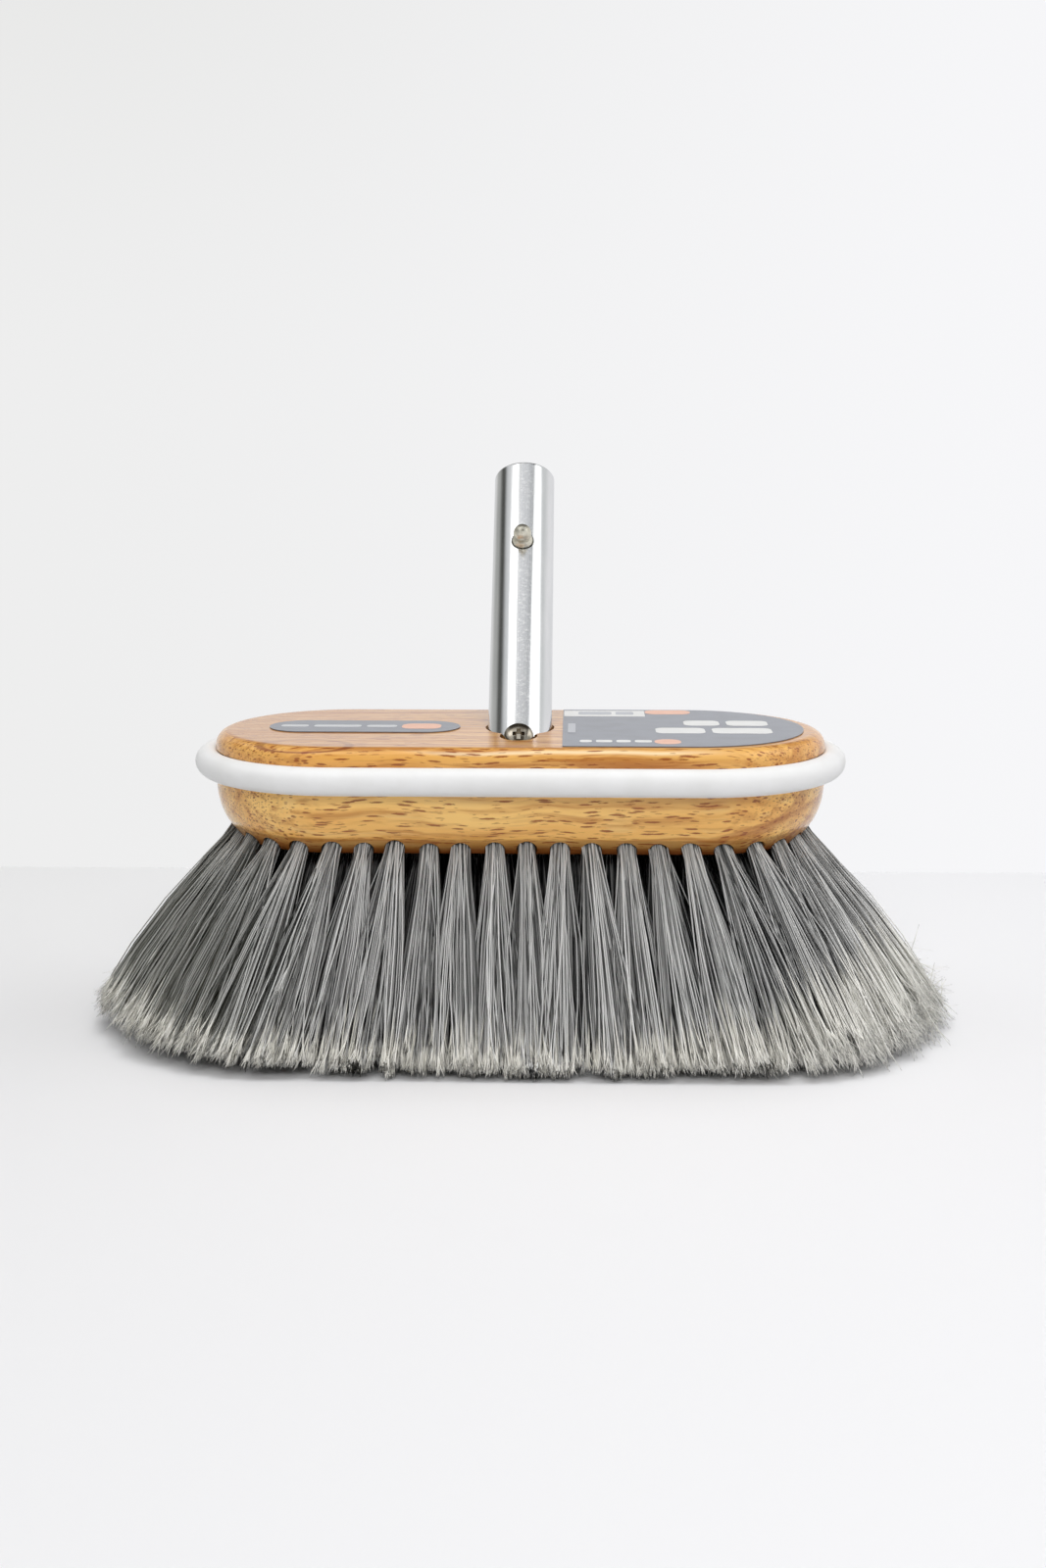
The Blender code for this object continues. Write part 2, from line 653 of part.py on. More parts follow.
def build_bristles():
    """The outer line of tufts round the chamfer, and the inner rows."""
    build_side_bristles("bristles_front", -1)
    build_side_bristles("bristles_back", 1)
    build_end_bristles("bristles_left_end", -1)
    build_end_bristles("bristles_right_end", 1)
    for row in range(ROW_COUNT):
        build_row_bristles(row, f"bristles_row_{row + 1}_left", -1)
        build_row_bristles(row, f"bristles_row_{row + 1}_right", 1)


clear_scene()
PIECES = make_collection("deck brush")
CUTTERS = make_collection("cutters")

WOOD = make_material("varnished wood", (0.66, 0.36, 0.13), 0.3)
BUMPER_VINYL = make_material("white vinyl", (0.8, 0.8, 0.79), 0.45)
ALUMINIUM = make_material("polished aluminium", (0.75, 0.75, 0.76), 0.2, 1.0)
STEEL = make_material("nickel-plated steel", (0.55, 0.53, 0.5), 0.25, 1.0)
LABEL_GREY = make_material("slate grey label", (0.23, 0.24, 0.28), 0.4)
BRISTLE = make_material("grey bristle", (0.25, 0.25, 0.25), 0.55)

BRUSH_FRAME = bpy.data.objects.new("brush frame", None)
BRUSH_FRAME.location.y = BLOCK_CENTRE_Y
PIECES.objects.link(BRUSH_FRAME)
SOCKET_FRAME = bpy.data.objects.new("socket frame", None)
SOCKET_FRAME.parent = BRUSH_FRAME
SOCKET_FRAME.location.z = BLOCK_TOP
SOCKET_FRAME.rotation_euler.x = -TUBE_LEAN
PIECES.objects.link(SOCKET_FRAME)

build_block()
build_bumper()
build_tube()
build_screw()
build_button()
build_spring()
build_labels()
build_bristles()
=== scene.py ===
"""Deck brush head: the finished look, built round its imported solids.

Lengths are in metres. +X runs along the block, +Y is the side that the tube leans to,
+Z is up, and the bristle tips stand on Z = 0.
"""

from math import acos, cos, pi, radians, sin, sqrt

import bmesh
import bpy
import numpy as np
from mathutils import Euler, Matrix, Vector


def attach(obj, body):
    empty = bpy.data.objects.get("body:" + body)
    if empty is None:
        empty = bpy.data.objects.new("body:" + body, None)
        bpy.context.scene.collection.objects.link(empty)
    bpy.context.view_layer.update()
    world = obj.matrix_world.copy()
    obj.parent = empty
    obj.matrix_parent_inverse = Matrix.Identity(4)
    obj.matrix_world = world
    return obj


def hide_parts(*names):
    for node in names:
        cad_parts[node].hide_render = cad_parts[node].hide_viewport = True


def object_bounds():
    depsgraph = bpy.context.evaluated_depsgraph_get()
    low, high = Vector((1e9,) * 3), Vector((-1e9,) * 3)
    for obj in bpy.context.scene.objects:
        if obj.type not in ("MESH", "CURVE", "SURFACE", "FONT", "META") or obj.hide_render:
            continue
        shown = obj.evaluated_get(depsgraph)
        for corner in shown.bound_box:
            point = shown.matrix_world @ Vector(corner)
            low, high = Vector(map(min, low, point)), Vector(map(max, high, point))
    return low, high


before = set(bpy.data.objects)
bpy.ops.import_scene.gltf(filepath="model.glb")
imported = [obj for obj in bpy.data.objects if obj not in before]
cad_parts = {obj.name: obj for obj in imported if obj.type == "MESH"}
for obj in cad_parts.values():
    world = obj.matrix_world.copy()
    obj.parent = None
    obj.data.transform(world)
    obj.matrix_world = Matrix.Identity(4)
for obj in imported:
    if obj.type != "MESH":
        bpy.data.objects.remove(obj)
cad_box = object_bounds()

# Allowances that all pieces share
OVERRUN = 0.004
MERGE_DISTANCE = 0.00001
DOT = 0.001
SHARP_ANGLE = radians(32)
SEAT_GAP = 0.0003

# Block
BLOCK_LENGTH = 0.212
BLOCK_WIDTH = 0.0908
BLOCK_THICKNESS = 0.0368
BLOCK_CENTRE_Y = -0.005494
BLOCK_TOP = 0.1058
BLOCK_BOTTOM = 0.069
TOP_ROUNDING = 0.005
SUPPORT = 0.0005
SIDE_LIP = 0.0031
SIDE_CURVE_DEPTH = 0.0038
CHAMFER_TOP = 0.0744
CHAMFER_DEPTH = 0.0044
EDGE_SOFTNESS = 0.0004
EYE_MIDDLE = (-0.0705, -0.0445, BLOCK_TOP)
EYE_LENGTH = 0.0152
EYE_WIDTH = 0.012
EYE_FALL = 4.9
EYE_LINE = 0.15
# Painted highlight along the front top edge: its drop below the top, width, waver and middle
LIP_HIGHLIGHT_DROP = 0.0012
LIP_HIGHLIGHT_WIDTH = 0.0009
LIP_HIGHLIGHT_WAVER = 0.003
LIP_HIGHLIGHT_MIDDLE = 0.016
END_BAND_SLOPE = 0.256
END_BAND_HEIGHT = 0.0592
END_BAND_FADE = 0.0035
END_BAND_EDGE = 0.0008
HEART = (0, 0.075, -0.01)
RING_PITCH = 0.0115
END_STEPS = 48

# Bumper ring
BUMPER_DIAMETER = 0.0094
BUMPER_OFFSET = 0.0025
BUMPER_LIP = 0.0011
BUMPER_SIDES = 32

# Handle tube, in its own frame: up its axis from the block's top
TUBE_DIAMETER = 0.0222
TUBE_WALL = 0.0016
TUBE_FREE_LENGTH = 0.1073
TUBE_BURIED_LENGTH = 0.0259
TUBE_RIM_ROUNDING = 0.0005
TUBE_LEAN = radians(39.3)
TUBE_SIDES = 96
SOCKET_DEPTH = 0.0262
SOCKET_CLEARANCE = 0.0009
SOCKET_SHIFT = 0.0006
TRACK_MIDDLE = 0.0012
TRACK_HALF = 0.0021
TRACK_FADE = 0.0003

# Cross screw
SCREW_BELOW_TOP = 0.0107
SCREW_HEAD_DIAMETER = 0.0102
SCREW_HEAD_HEIGHT = 0.0032
SCREW_HEAD_EDGE = 0.0011
SCREW_SHANK_DIAMETER = 0.0042
SCREW_WOOD_LENGTH = 0.009
SCREW_POINT_LENGTH = 0.004
SCREW_EDGE_SOFTNESS = 0.0002
CROWN_STEPS = 14
RECESS_LENGTH = 0.0064
RECESS_WIDTH = 0.0016
RECESS_DEPTH = 0.0021
RECESS_TAPER_SHARES = (0.35, 0.8, 1)
COUNTERBORE_CLEARANCE = 0.00135

# Snap button
BUTTON_ALONG_TUBE = 0.072
BUTTON_DIAMETER = 0.00635
BUTTON_PROTRUSION = 0.0075
BUTTON_CLEARANCE = 0.0009
BUTTON_SKIRT_LIP = 0.0005
BUTTON_SKIRT_HEIGHT = 0.0017
DOME_END = -0.5
DOME_INSET = 0.0003
SKIRT_SLOPE = 0.0004
SKIRT_TAPER = 0.0001
SKIRT_FOOT = 0.0005
FLANGE_RADIUS = 0.004575
FLANGE_TOP = 0.00803
FLANGE_THICKNESS = 0.0012
NECK_RADIUS = 0.0016
TAIL_TOP = 0.00553
TAIL_LIP = 0.0009
TAIL_THICKNESS = 0.0008

# Labels
LABEL_THICKNESS = 0.00025
LABEL_LIFT = 0.0001
PRINT_THICKNESS = 0.00004
LARGE_LABEL_START = 0.015
LARGE_LABEL_RADIUS = 0.0395
LARGE_LABEL_CENTRE = 0.059
OVAL_LABEL_LENGTH = 0.0667
OVAL_LABEL_WIDTH = 0.0244
OVAL_LABEL_CENTRE = -0.0542
CORNER_LEEWAY = DOT / 100

# Rows of printed bars: low and high Y from the block's middle, rounding, each bar's two X
LARGE_PALE_BARS = (
    (0.0235, 0.0368, 0.0003, (0.0153, 0.0445)),
    (-0.0318, -0.0272, 0.0012, (0.0208, 0.0248), (0.0262, 0.0316)),
    (-0.0318, -0.0272, 0.0012, (0.0330, 0.0378), (0.0392, 0.0448)),
    (-0.0130, -0.0015, 0.0030, (0.0470, 0.0640), (0.0665, 0.0870)),
    (0.0035, 0.0145, 0.0030, (0.0575, 0.0700), (0.0725, 0.0870)),
)
LARGE_FAINT_BARS = (
    (-0.0130, 0.0070, 0.0008, (0.0168, 0.0194)),
    (0.0275, 0.0340, 0.0012, (0.0205, 0.0325), (0.0340, 0.0405)),
)
LARGE_ORANGE_BARS = (
    (0.0290, 0.0385, 0.0040, (0.0447, 0.0612)),
    (-0.0350, -0.0255, 0.0040, (0.0457, 0.0545)),
)
OVAL_PALE_BARS = (
    (-0.0022, 0.0024, 0.0016, (-0.0835, -0.0740), (-0.0720, -0.0555), (-0.0535, -0.0430)),
)
OVAL_ORANGE_BARS = ((-0.0055, 0.0055, 0.0040, (-0.0412, -0.0275)),)

# Tufts: where they leave the block, and how they splay
EDGE_TUFT_RADIUS = 0.0391
EDGE_TUFTS = 11
EDGE_TUFT_REACH = 0.101
INNER_ROW_RADIUS = 0.0274
OUTER_ROW_Y = 0.025
ROW_COUNT = 5
ROW_TUFT_PITCH = 0.012
END_SPLAY = 0.0492
SIDE_SPLAY = 0.0262
CORNER_SPLAY = 0.08
TUFT_SHIFT = 0.0035
TUFT_JITTER = 0.00035
TUFT_LEAN = 0.0016
HOLE_RADIUS = 0.00345
HOLE_DEPTH = 0.007
HOLE_SIDES = 28

# Filaments
FILAMENTS_IN_EDGE_TUFT = 145
FILAMENTS_IN_ROW_TUFT = 60
FILAMENT_RADIUS = 0.00027
FLAG_RADIUS = 0.00019
FLAGS_PER_FILAMENT = 5
FLAG_LENGTH_SHARES = (0.05, 0.12)
FLAG_DRIFT = 0.0009
FLAG_LIFT = 0.0005
FLAG_LOWEST = 0.00005
FLAG_SHADE_SPREAD = 0.25
FLAG_PALE_LEAD = 0.03
ROOT_SPREAD = 0.0032
TIP_SPREAD = 0.0092
TIP_SPREAD_OUTWARD = 0.003
TIP_NOISE = 0.0004
ROOT_DEPTH = 0.005
CLUMPS = 34
CLUMP_REACH = 0.9
CLUMP_PULL = 0.75
CROSSING_SHARE = 0.45
STRAY_SHARE = 0.03
STRAY_SPREAD = 0.014
LOOSE_SHARE = 0.002
LOOSE_SPREAD = 0.012
LOOSE_WAVE = 0.006
LOOSE_THICKNESS = 0.6
LOOSE_LIFT = (0.004, 0.03)
LOOSE_SHADE = 0.95
BOW = 0.12
BOW_SPREAD = 0.05
END_BOW = 0.3
WAVE = 0.0014
FRINGE = 0.004
TIP_LIFT = 0.0034
TIP_FLOOR = 0.0004
TIP_SINK = 0.0006
TIP_LOWEST = 0.0001
TIP_RISE_LEFT_RIGHT = (0.0046, 0.0008)
FLARE_LEFT_RIGHT = (0.004, 0.015)
FRIZZ_LEFT_RIGHT = (0.8, 1.8)
TIP_RAGGED = 0.0013
CLUMP_RAGGED = 0.0008
PALE_START = 0.84
PALE_SPREAD = 0.05
# Painted shade: where the pale ends start on the inner filaments, which lie in shadow
INNER_PALE_START = 0.95
DARK_SHARE = 0.35
DARK_SHADE = 0.3
LIGHT_SHADE = 0.84
SHADE_SPREAD = 0.13
CLUMP_SHADE_SPREAD = 0.06
# Painted shade: the inner rows darker, and each outer tuft darker towards its back
PAINTED_INNER_SHADE = 0.6
PAINTED_DEPTH_SHADE = 0.35
SEED = 4107

# Floor, camera and lamps
FLOOR_WIDTH = 8
FLOOR_DEPTH = 5
FLOOR_END = 0.222
CAMERA_PLACE = (0.018, -0.6678, 0.2139)
CAMERA_TURN = (radians(79.05), 0, radians(1.464))
CAMERA_LENS = 44.1
CAMERA_SENSOR = 36
CAMERA_CLIP = (0.01, 50)
BRUSH_MIDDLE = (0, 0, 0.08)

# Each lamp's name, place, faced point, width, depth and watts, and if gloss mirrors it
LAMPS = (
    ("left_softbox", (-0.64, -0.3, 1.3), (-0.64, -0.3, 0), 0.6, 0.6, 1.04, True),
    ("right_softbox", (1.445, -0.1, 1.3), (1.445, -0.1, 0), 1.51, 0.9, 3.9, True),
    ("top_softbox", (0.015, 0.2, 1.25), (0.015, 0.1, 0), 0.34, 0.6, 2.8, False),
    ("high_softbox", (0.3, -0.6, 2.4), BRUSH_MIDDLE, 2.2, 1.5, 21, False),
    ("front_softbox", (0.1, -1.7, 1.3), BRUSH_MIDDLE, 1.6, 0.5, 16.5, False),
)

END_RADIUS = BLOCK_WIDTH / 2
STRAIGHT = BLOCK_LENGTH - BLOCK_WIDTH
GROOVE_RADIUS = BUMPER_DIAMETER / 2 + SEAT_GAP
GROOVE_HALF_HEIGHT = sqrt(GROOVE_RADIUS**2 - BUMPER_OFFSET**2)
BUMPER_HEIGHT = BLOCK_TOP - TOP_ROUNDING - BUMPER_LIP - GROOVE_HALF_HEIGHT
CURVE_TOP = BUMPER_HEIGHT - GROOVE_HALF_HEIGHT - SIDE_LIP
CURVE_HEIGHT = CURVE_TOP - CHAMFER_TOP
SIDE_CURVE_RADIUS = (CURVE_HEIGHT**2 + SIDE_CURVE_DEPTH**2) / (2 * SIDE_CURVE_DEPTH)
TUBE_RADIUS = TUBE_DIAMETER / 2
PILOT_RADIUS = SCREW_SHANK_DIAMETER / 2 + SEAT_GAP
SOCKET_FRAME = Matrix.LocRotScale(
    Vector((0, BLOCK_CENTRE_Y, BLOCK_TOP)), Euler((-TUBE_LEAN, 0, 0)), None
)
OUTWARD = Euler((pi / 2, 0, 0)).to_matrix().to_4x4()
SCREW_FRAME = SOCKET_FRAME @ Matrix.Translation((0, 0, -SCREW_BELOW_TOP)) @ OUTWARD
BUTTON_FRAME = SOCKET_FRAME @ Matrix.Translation((0, 0, BUTTON_ALONG_TUBE)) @ OUTWARD


# Modelling steps that the pieces share


def pick(*pieces):
    """Leaves object mode with only these pieces selected, and the first one active."""
    if bpy.context.mode != "OBJECT":
        bpy.ops.object.mode_set(mode="OBJECT")
    bpy.ops.object.select_all(action="DESELECT")
    for piece in pieces:
        piece.select_set(True)
    if pieces:
        bpy.context.view_layer.objects.active = pieces[0]


def open_piece(name):
    """Names the primitive just added and opens it in edit mode, selected all over."""
    piece = bpy.context.active_object
    piece.name = name
    piece.data.name = name
    bpy.ops.object.mode_set(mode="EDIT")
    bpy.ops.mesh.select_all(action="SELECT")
    return piece


def fix_place(piece, placed=None):
    """Fixes a piece's place in its mesh, in the frame that it is placed in."""
    bpy.ops.object.transform_apply()
    if placed:
        piece.matrix_world = placed
        bpy.ops.object.transform_apply()


def close_piece(piece, placed=None):
    """Cleans a piece's mesh, turns its faces outwards and fixes its place."""
    bpy.ops.mesh.select_all(action="SELECT")
    bpy.ops.mesh.remove_doubles(threshold=MERGE_DISTANCE)
    bpy.ops.mesh.dissolve_degenerate(threshold=MERGE_DISTANCE)
    bpy.ops.mesh.normals_make_consistent(inside=False)
    bpy.ops.object.mode_set(mode="OBJECT")
    fix_place(piece, placed)
    return piece


def select_where(piece, chosen):
    """Selects the points of an open piece for which a test holds, and no others."""
    bpy.ops.mesh.select_all(action="DESELECT")
    mesh = bmesh.from_edit_mesh(piece.data)
    for vert in mesh.verts:
        vert.select_set(chosen(vert.co))
    mesh.select_flush(True)
    bmesh.update_edit_mesh(piece.data)


def extrude_by(way):
    """Extrudes the selection by a vector."""
    bpy.ops.mesh.extrude_region_move(TRANSFORM_OT_translate={"value": way})


def draw_line(name, points):
    """A line drawn by extruding one vertex from point to point."""
    points = [Vector(point) for point in points]
    pick()
    bpy.ops.mesh.primitive_plane_add(size=DOT, location=points[0])
    piece = open_piece(name)
    bpy.ops.mesh.merge(type="CENTER")
    for before, after in zip(points, points[1:]):
        extrude_by(after - before)
    bpy.ops.mesh.select_all(action="SELECT")
    return piece


def sweep_round_block(section):
    """Sweeps an open section along both sides and round both ends of the block."""
    for side in (1, -1):
        centre = (side * STRAIGHT / 2, BLOCK_CENTRE_Y, 0)
        bpy.ops.mesh.spin(steps=END_STEPS, angle=-pi, center=centre, axis=(0, 0, 1))
        extrude_by((-side * STRAIGHT, 0, 0))
    return close_piece(section)


def turn_on_axis(name, profile, sides, placed):
    """Turns a (radius, height) profile about its own axis, then sets it in its place."""
    piece = draw_line(name, [(radius, 0, height) for radius, height in profile])
    bpy.ops.mesh.spin(steps=sides, angle=2 * pi, center=(0, 0, 0), axis=(0, 0, 1))
    return close_piece(piece, placed)


def arc(centre, radius, start, end, steps):
    """Points of an arc in the (radius, height) plane."""
    angles = [start + (end - start) * step / steps for step in range(steps + 1)]
    return [
        (centre[0] + radius * cos(angle), centre[1] + radius * sin(angle)) for angle in angles
    ]


def drill(name, radius, low, high, placed, sides=64):
    """A round cutter along the axis of the frame that it is placed in."""
    pick()
    bpy.ops.mesh.primitive_cylinder_add(
        vertices=sides, radius=radius, depth=high - low, location=(0, 0, (low + high) / 2)
    )
    cutter = bpy.context.active_object
    cutter.name = name
    fix_place(cutter, placed)
    return cutter


def join(objects):
    """Joins several objects into the first."""
    pick(*objects)
    bpy.ops.object.join()
    return objects[0]


def finish_with(piece, kind, **settings):
    """Adds a modifier to a piece and applies it."""
    pick(piece)
    bpy.ops.object.modifier_add(type=kind)
    modifier = piece.modifiers[-1]
    for key, value in settings.items():
        setattr(modifier, key, value)
    bpy.ops.object.modifier_apply(modifier=modifier.name)


def cut(piece, *cutters):
    """Cuts each cutter out of a piece and removes it."""
    for cutter in cutters:
        finish_with(piece, "BOOLEAN", object=cutter, operation="DIFFERENCE", solver="EXACT")
        bpy.data.objects.remove(cutter, do_unlink=True)


def smooth(piece):
    """Smooth shading that keeps corners crisp and flats flat."""
    pick(piece)
    bpy.ops.object.shade_smooth_by_angle(angle=SHARP_ANGLE)
    finish_with(piece, "WEIGHTED_NORMAL", keep_sharp=True)


def finish_piece(piece, material, slot, *replaced, body="head"):
    """Gives a piece its material and its body, and hides the solids that it stands for; the slot
    is not used.
    """
    piece.data.materials.clear()
    piece.data.materials.append(material)
    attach(piece, body)
    if replaced:
        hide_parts(*replaced)


# Material steps that the finishes share


def tone(red, green, blue):
    """A colour as it shows on screen, from 0 to 255, as the linear one that shaders take."""
    values = [part / 255 for part in (red, green, blue)]
    return tuple(
        value / 12.92 if value <= 0.04045 else ((value + 0.055) / 1.055) ** 2.4
        for value in values
    ) + (1.0,)


def add_node(source, kind, inputs=(), **settings):
    """A node in the tree of a socket, its inputs set or linked by name or number."""
    tree = source.id_data
    node = tree.nodes.new(f"ShaderNode{kind}")
    for key, value in settings.items():
        setattr(node, key, value)
    for key, value in dict(inputs).items():
        if isinstance(value, bpy.types.NodeSocket):
            tree.links.new(value, node.inputs[key])
        else:
            node.inputs[key].default_value = value
    return node


def start_material(name, **settings):
    """A material with its shader's own values set, and the piece's own coordinates."""
    material = bpy.data.materials.new(name)
    material.use_nodes = True
    shader = material.node_tree.nodes["Principled BSDF"]
    for key, value in settings.items():
        shader.inputs[key.replace("_", " ")].default_value = value
    return material, add_node(material.node_tree, "TexCoord").outputs["Object"]


def link_shader(material, **sockets):
    """Links sockets to the shader's inputs and gives the material back."""
    tree = material.node_tree
    for key, socket in sockets.items():
        tree.links.new(socket, tree.nodes["Principled BSDF"].inputs[key.replace("_", " ")])
    return material


def maths(operation, *values):
    """A value worked out from others, of which the first is a socket."""
    inputs = dict(enumerate(values))
    return add_node(values[0], "Math", inputs, operation=operation).outputs[0]


def plus(first, second):
    """Two values added."""
    return maths("ADD", first, second)


def minus(first, second):
    """One value less another."""
    return maths("SUBTRACT", first, second)


def times(first, *others):
    """Values multiplied together."""
    for other in others:
        first = maths("MULTIPLY", first, other)
    return first


def size_of(value):
    """A value without its sign."""
    return maths("ABSOLUTE", value)


def vectors(operation, *values, output="Vector"):
    """A vector or value worked out from vectors, of which the first is a socket."""
    inputs = dict(enumerate(values))
    node = add_node(values[0], "VectorMath", inputs, operation=operation)
    return node.outputs[output]


def scaled(vector, scale):
    """Coordinates multiplied by a different value along each axis."""
    return vectors("MULTIPLY", vector, scale)


def shifted(place, source, reach):
    """Coordinates shifted by a coloured noise, by up to half of a reach along each axis."""
    centred = vectors("SUBTRACT", source, (0.5, 0.5, 0.5))
    return vectors("ADD", place, scaled(centred, reach))


def axes(vector):
    """The X, Y and Z of a vector."""
    return add_node(vector, "SeparateXYZ", {0: vector}).outputs


def noise(vector, scale=1.0, detail=2.0, roughness=0.5, output="Fac"):
    """Noise on some coordinates."""
    inputs = {"Vector": vector, "Scale": scale, "Detail": detail, "Roughness": roughness}
    return add_node(vector, "TexNoise", inputs).outputs[output]


def ramp(value, low, high, to_low=0.0, to_high=1.0):
    """A value brought smoothly from one range to another, and kept inside it."""
    inputs = {"Value": value, "From Min": low, "From Max": high}
    inputs.update({"To Min": to_low, "To Max": to_high})
    settings = {"interpolation_type": "SMOOTHSTEP"}
    return add_node(value, "MapRange", inputs, **settings).outputs[0]


def mixed(share, *colours):
    """A colour between two, each a socket or a tone as it shows on screen."""
    first, second = (tone(*each) if isinstance(each, tuple) else each for each in colours)
    inputs = {0: share, 6: first, 7: second}
    return add_node(share, "Mix", inputs, data_type="RGBA").outputs[2]


def bumped(height, distance, strength):
    """A bumped normal from a height."""
    inputs = {"Height": height, "Distance": distance, "Strength": strength}
    return add_node(height, "Bump", inputs).outputs[0]


# Finishes


def pores(place, scale, low, high):
    """Dark pores drawn out along the grain, in under half of the cells."""
    inputs = {"Vector": scaled(place, scale), "Scale": 1, "Randomness": 1}
    cells = add_node(place, "TexVoronoi", inputs).outputs
    return times(ramp(cells["Distance"], low, high, 1, 0), ramp(cells["Color"], 0.46, 0.5))


def late_wood(bent, x):
    """The dark late wood of each year, in rings round a heart behind and below the block."""
    across = scaled(vectors("SUBTRACT", bent, HEART), (0, 1, 1))
    radius = vectors("LENGTH", across, output="Value")
    year = maths("FRACT", times(radius, 1 / RING_PITCH))
    ring = times(ramp(year, 0.45, 0.94), ramp(year, 0.94, 1, 1, 0))
    return times(ring, ramp(x, -0.05, 0.1, 0.1, 1.8))


def end_band(x, z):
    """A dark slanting band round the right end of the lower side."""
    slant = minus(z, times(x, END_BAND_SLOPE))
    return times(
        ramp(slant, END_BAND_HEIGHT - END_BAND_FADE, END_BAND_HEIGHT),
        ramp(slant, END_BAND_HEIGHT, END_BAND_HEIGHT + END_BAND_EDGE, 1, 0),
        ramp(x, 0.055, 0.075),
    )


def eye_line(place):
    """A dark growth line that closes like an eye, over the front left of the top edge."""
    x, y, z = axes(vectors("SUBTRACT", place, EYE_MIDDLE))
    across = plus(y, times(z, EYE_FALL))
    flat = add_node(place, "CombineXYZ", {"X": x, "Y": across}).outputs[0]
    round_off = scaled(flat, (1 / EYE_LENGTH, 1 / EYE_WIDTH, 0))
    away = size_of(minus(vectors("LENGTH", round_off, output="Value"), 1))
    line = ramp(away, EYE_LINE / 3, EYE_LINE, 1, 0)
    return times(line, ramp(across, -EYE_WIDTH / 2, EYE_WIDTH, 1, 0.4))


def painted_lip_highlight(x, y, z, waver):
    """A painted highlight: a pale wavy band along the middle of the front top edge, where the
    varnish mirrors an overhead lamp.
    """
    height = plus(z, times(axes(waver)["Z"], LIP_HIGHLIGHT_WAVER))
    off = size_of(minus(height, BLOCK_TOP - LIP_HIGHLIGHT_DROP + LIP_HIGHLIGHT_WAVER / 2))
    along = size_of(minus(x, LIP_HIGHLIGHT_MIDDLE))
    return times(
        ramp(off, 0, LIP_HIGHLIGHT_WIDTH, 0.62, 0),
        ramp(along, 0.03, 0.06, 1, 0),
        ramp(y, -0.04, -0.03, 1, 0),
    )


def painted_under_shade(z):
    """Painted shade on the chamfer and the underside, strongest at the bottom."""
    return times(
        ramp(z, BLOCK_BOTTOM, CHAMFER_TOP + EDGE_SOFTNESS, 0.97, 0.5),
        ramp(z, CHAMFER_TOP, CHAMFER_TOP + 2 * EDGE_SOFTNESS, 1, 0),
    )


def varnished_wood():
    """Honey hardwood under clear gloss varnish, its grain along the block."""
    material, place = start_material(
        "varnished_wood", Specular_IOR_Level=0.2, Coat_Weight=1, Coat_Roughness=0.17, Coat_IOR=1.39
    )
    x, y, z = axes(place)
    far = size_of(x)
    slow = noise(scaled(place, (24, 14, 14)), output="Color")
    bent = shifted(place, slow, (0, 0.007, 0.007))
    rough = noise(scaled(place, (900, 2200, 2200)), detail=1, output="Color")
    ragged = shifted(bent, rough, (0.0016, 0.0003, 0.0003))
    broad = noise(scaled(bent, (9, 85, 85)))
    fibre = noise(scaled(bent, (16, 420, 420)), detail=4, roughness=0.6)
    streak = noise(scaled(bent, (11, 300, 300)), detail=3, roughness=0.55)
    dark_streak = noise(scaled(bent, (14, 380, 380)), detail=3, roughness=0.6)
    dark_streak = ramp(dark_streak, 0.48, 0.62, 0, 0.6)
    pore = pores(ragged, (115, 900, 900), 0.22, 0.4)
    small_pore = pores(ragged, (170, 1250, 1250), 0.2, 0.34)
    end_pore = pores(ragged, (800, 1500, 1500), 0.22, 0.46)
    high = ramp(z, BUMPER_HEIGHT, BUMPER_HEIGHT + 0.001)
    top = ramp(z, BLOCK_TOP - 0.0004, BLOCK_TOP - 0.0001)
    under = painted_under_shade(z)
    grain = mixed(ramp(broad, 0.35, 0.65), (255, 208, 122), (244, 186, 98))
    for share, colour in (
        (ramp(fibre, 0.42, 0.68, 0, 0.62), (182, 112, 44)),
        (ramp(streak, 0.54, 0.68, 0, 0.5), (250, 210, 134)),
        (times(late_wood(bent, x), 0.3), (166, 94, 36)),
        (times(high, 0.4), (214, 146, 68)),
        (times(dark_streak, high, ramp(far, 0.066, 0.082, 1, 0.2)), (166, 92, 30)),
        (times(top, ramp(x, -0.09, 0.01, 0.6, 0.2)), (186, 124, 64)),
        # painted highlight on the varnished top edge
        (painted_lip_highlight(x, y, z, slow), (255, 236, 196)),
        (times(end_band(x, z), 0.55), (172, 104, 44)),
        (times(end_pore, ramp(far, 0.074, 0.086, 0, 0.75)), (158, 92, 36)),
        (times(small_pore, 0.6), (156, 88, 34)),
        (times(pore, 0.85), (140, 66, 22)),
        (times(eye_line(place), 0.75), (128, 62, 24)),
        # painted shade on the chamfer and the underside
        (under, (110, 50, 4)),
    ):
        grain = mixed(share, grain, colour)
    return link_shader(
        material,
        Base_Color=grain,
        # less coat where the shade is painted, so that the chamfer shows darker
        Coat_Weight=ramp(under, 0, 0.9, 1, 0.15),
        Normal=bumped(minus(fibre, pore), 0.00006, 0.5),
        Roughness=ramp(fibre, 0.3, 0.7, 0.36, 0.5),
    )


def clouded(name, cloud, fine, colours, **settings):
    """A finish with faint clouds, and a fine grain of a scale, a depth and a strength."""
    material, place = start_material(name, **settings)
    scale, detail, low, high = cloud
    cloud = noise(place, scale, detail)
    link_shader(
        material,
        Base_Color=mixed(ramp(cloud, low, high), *colours),
        Normal=bumped(noise(place, fine[0]), *fine[1:]),
    )
    return material, cloud


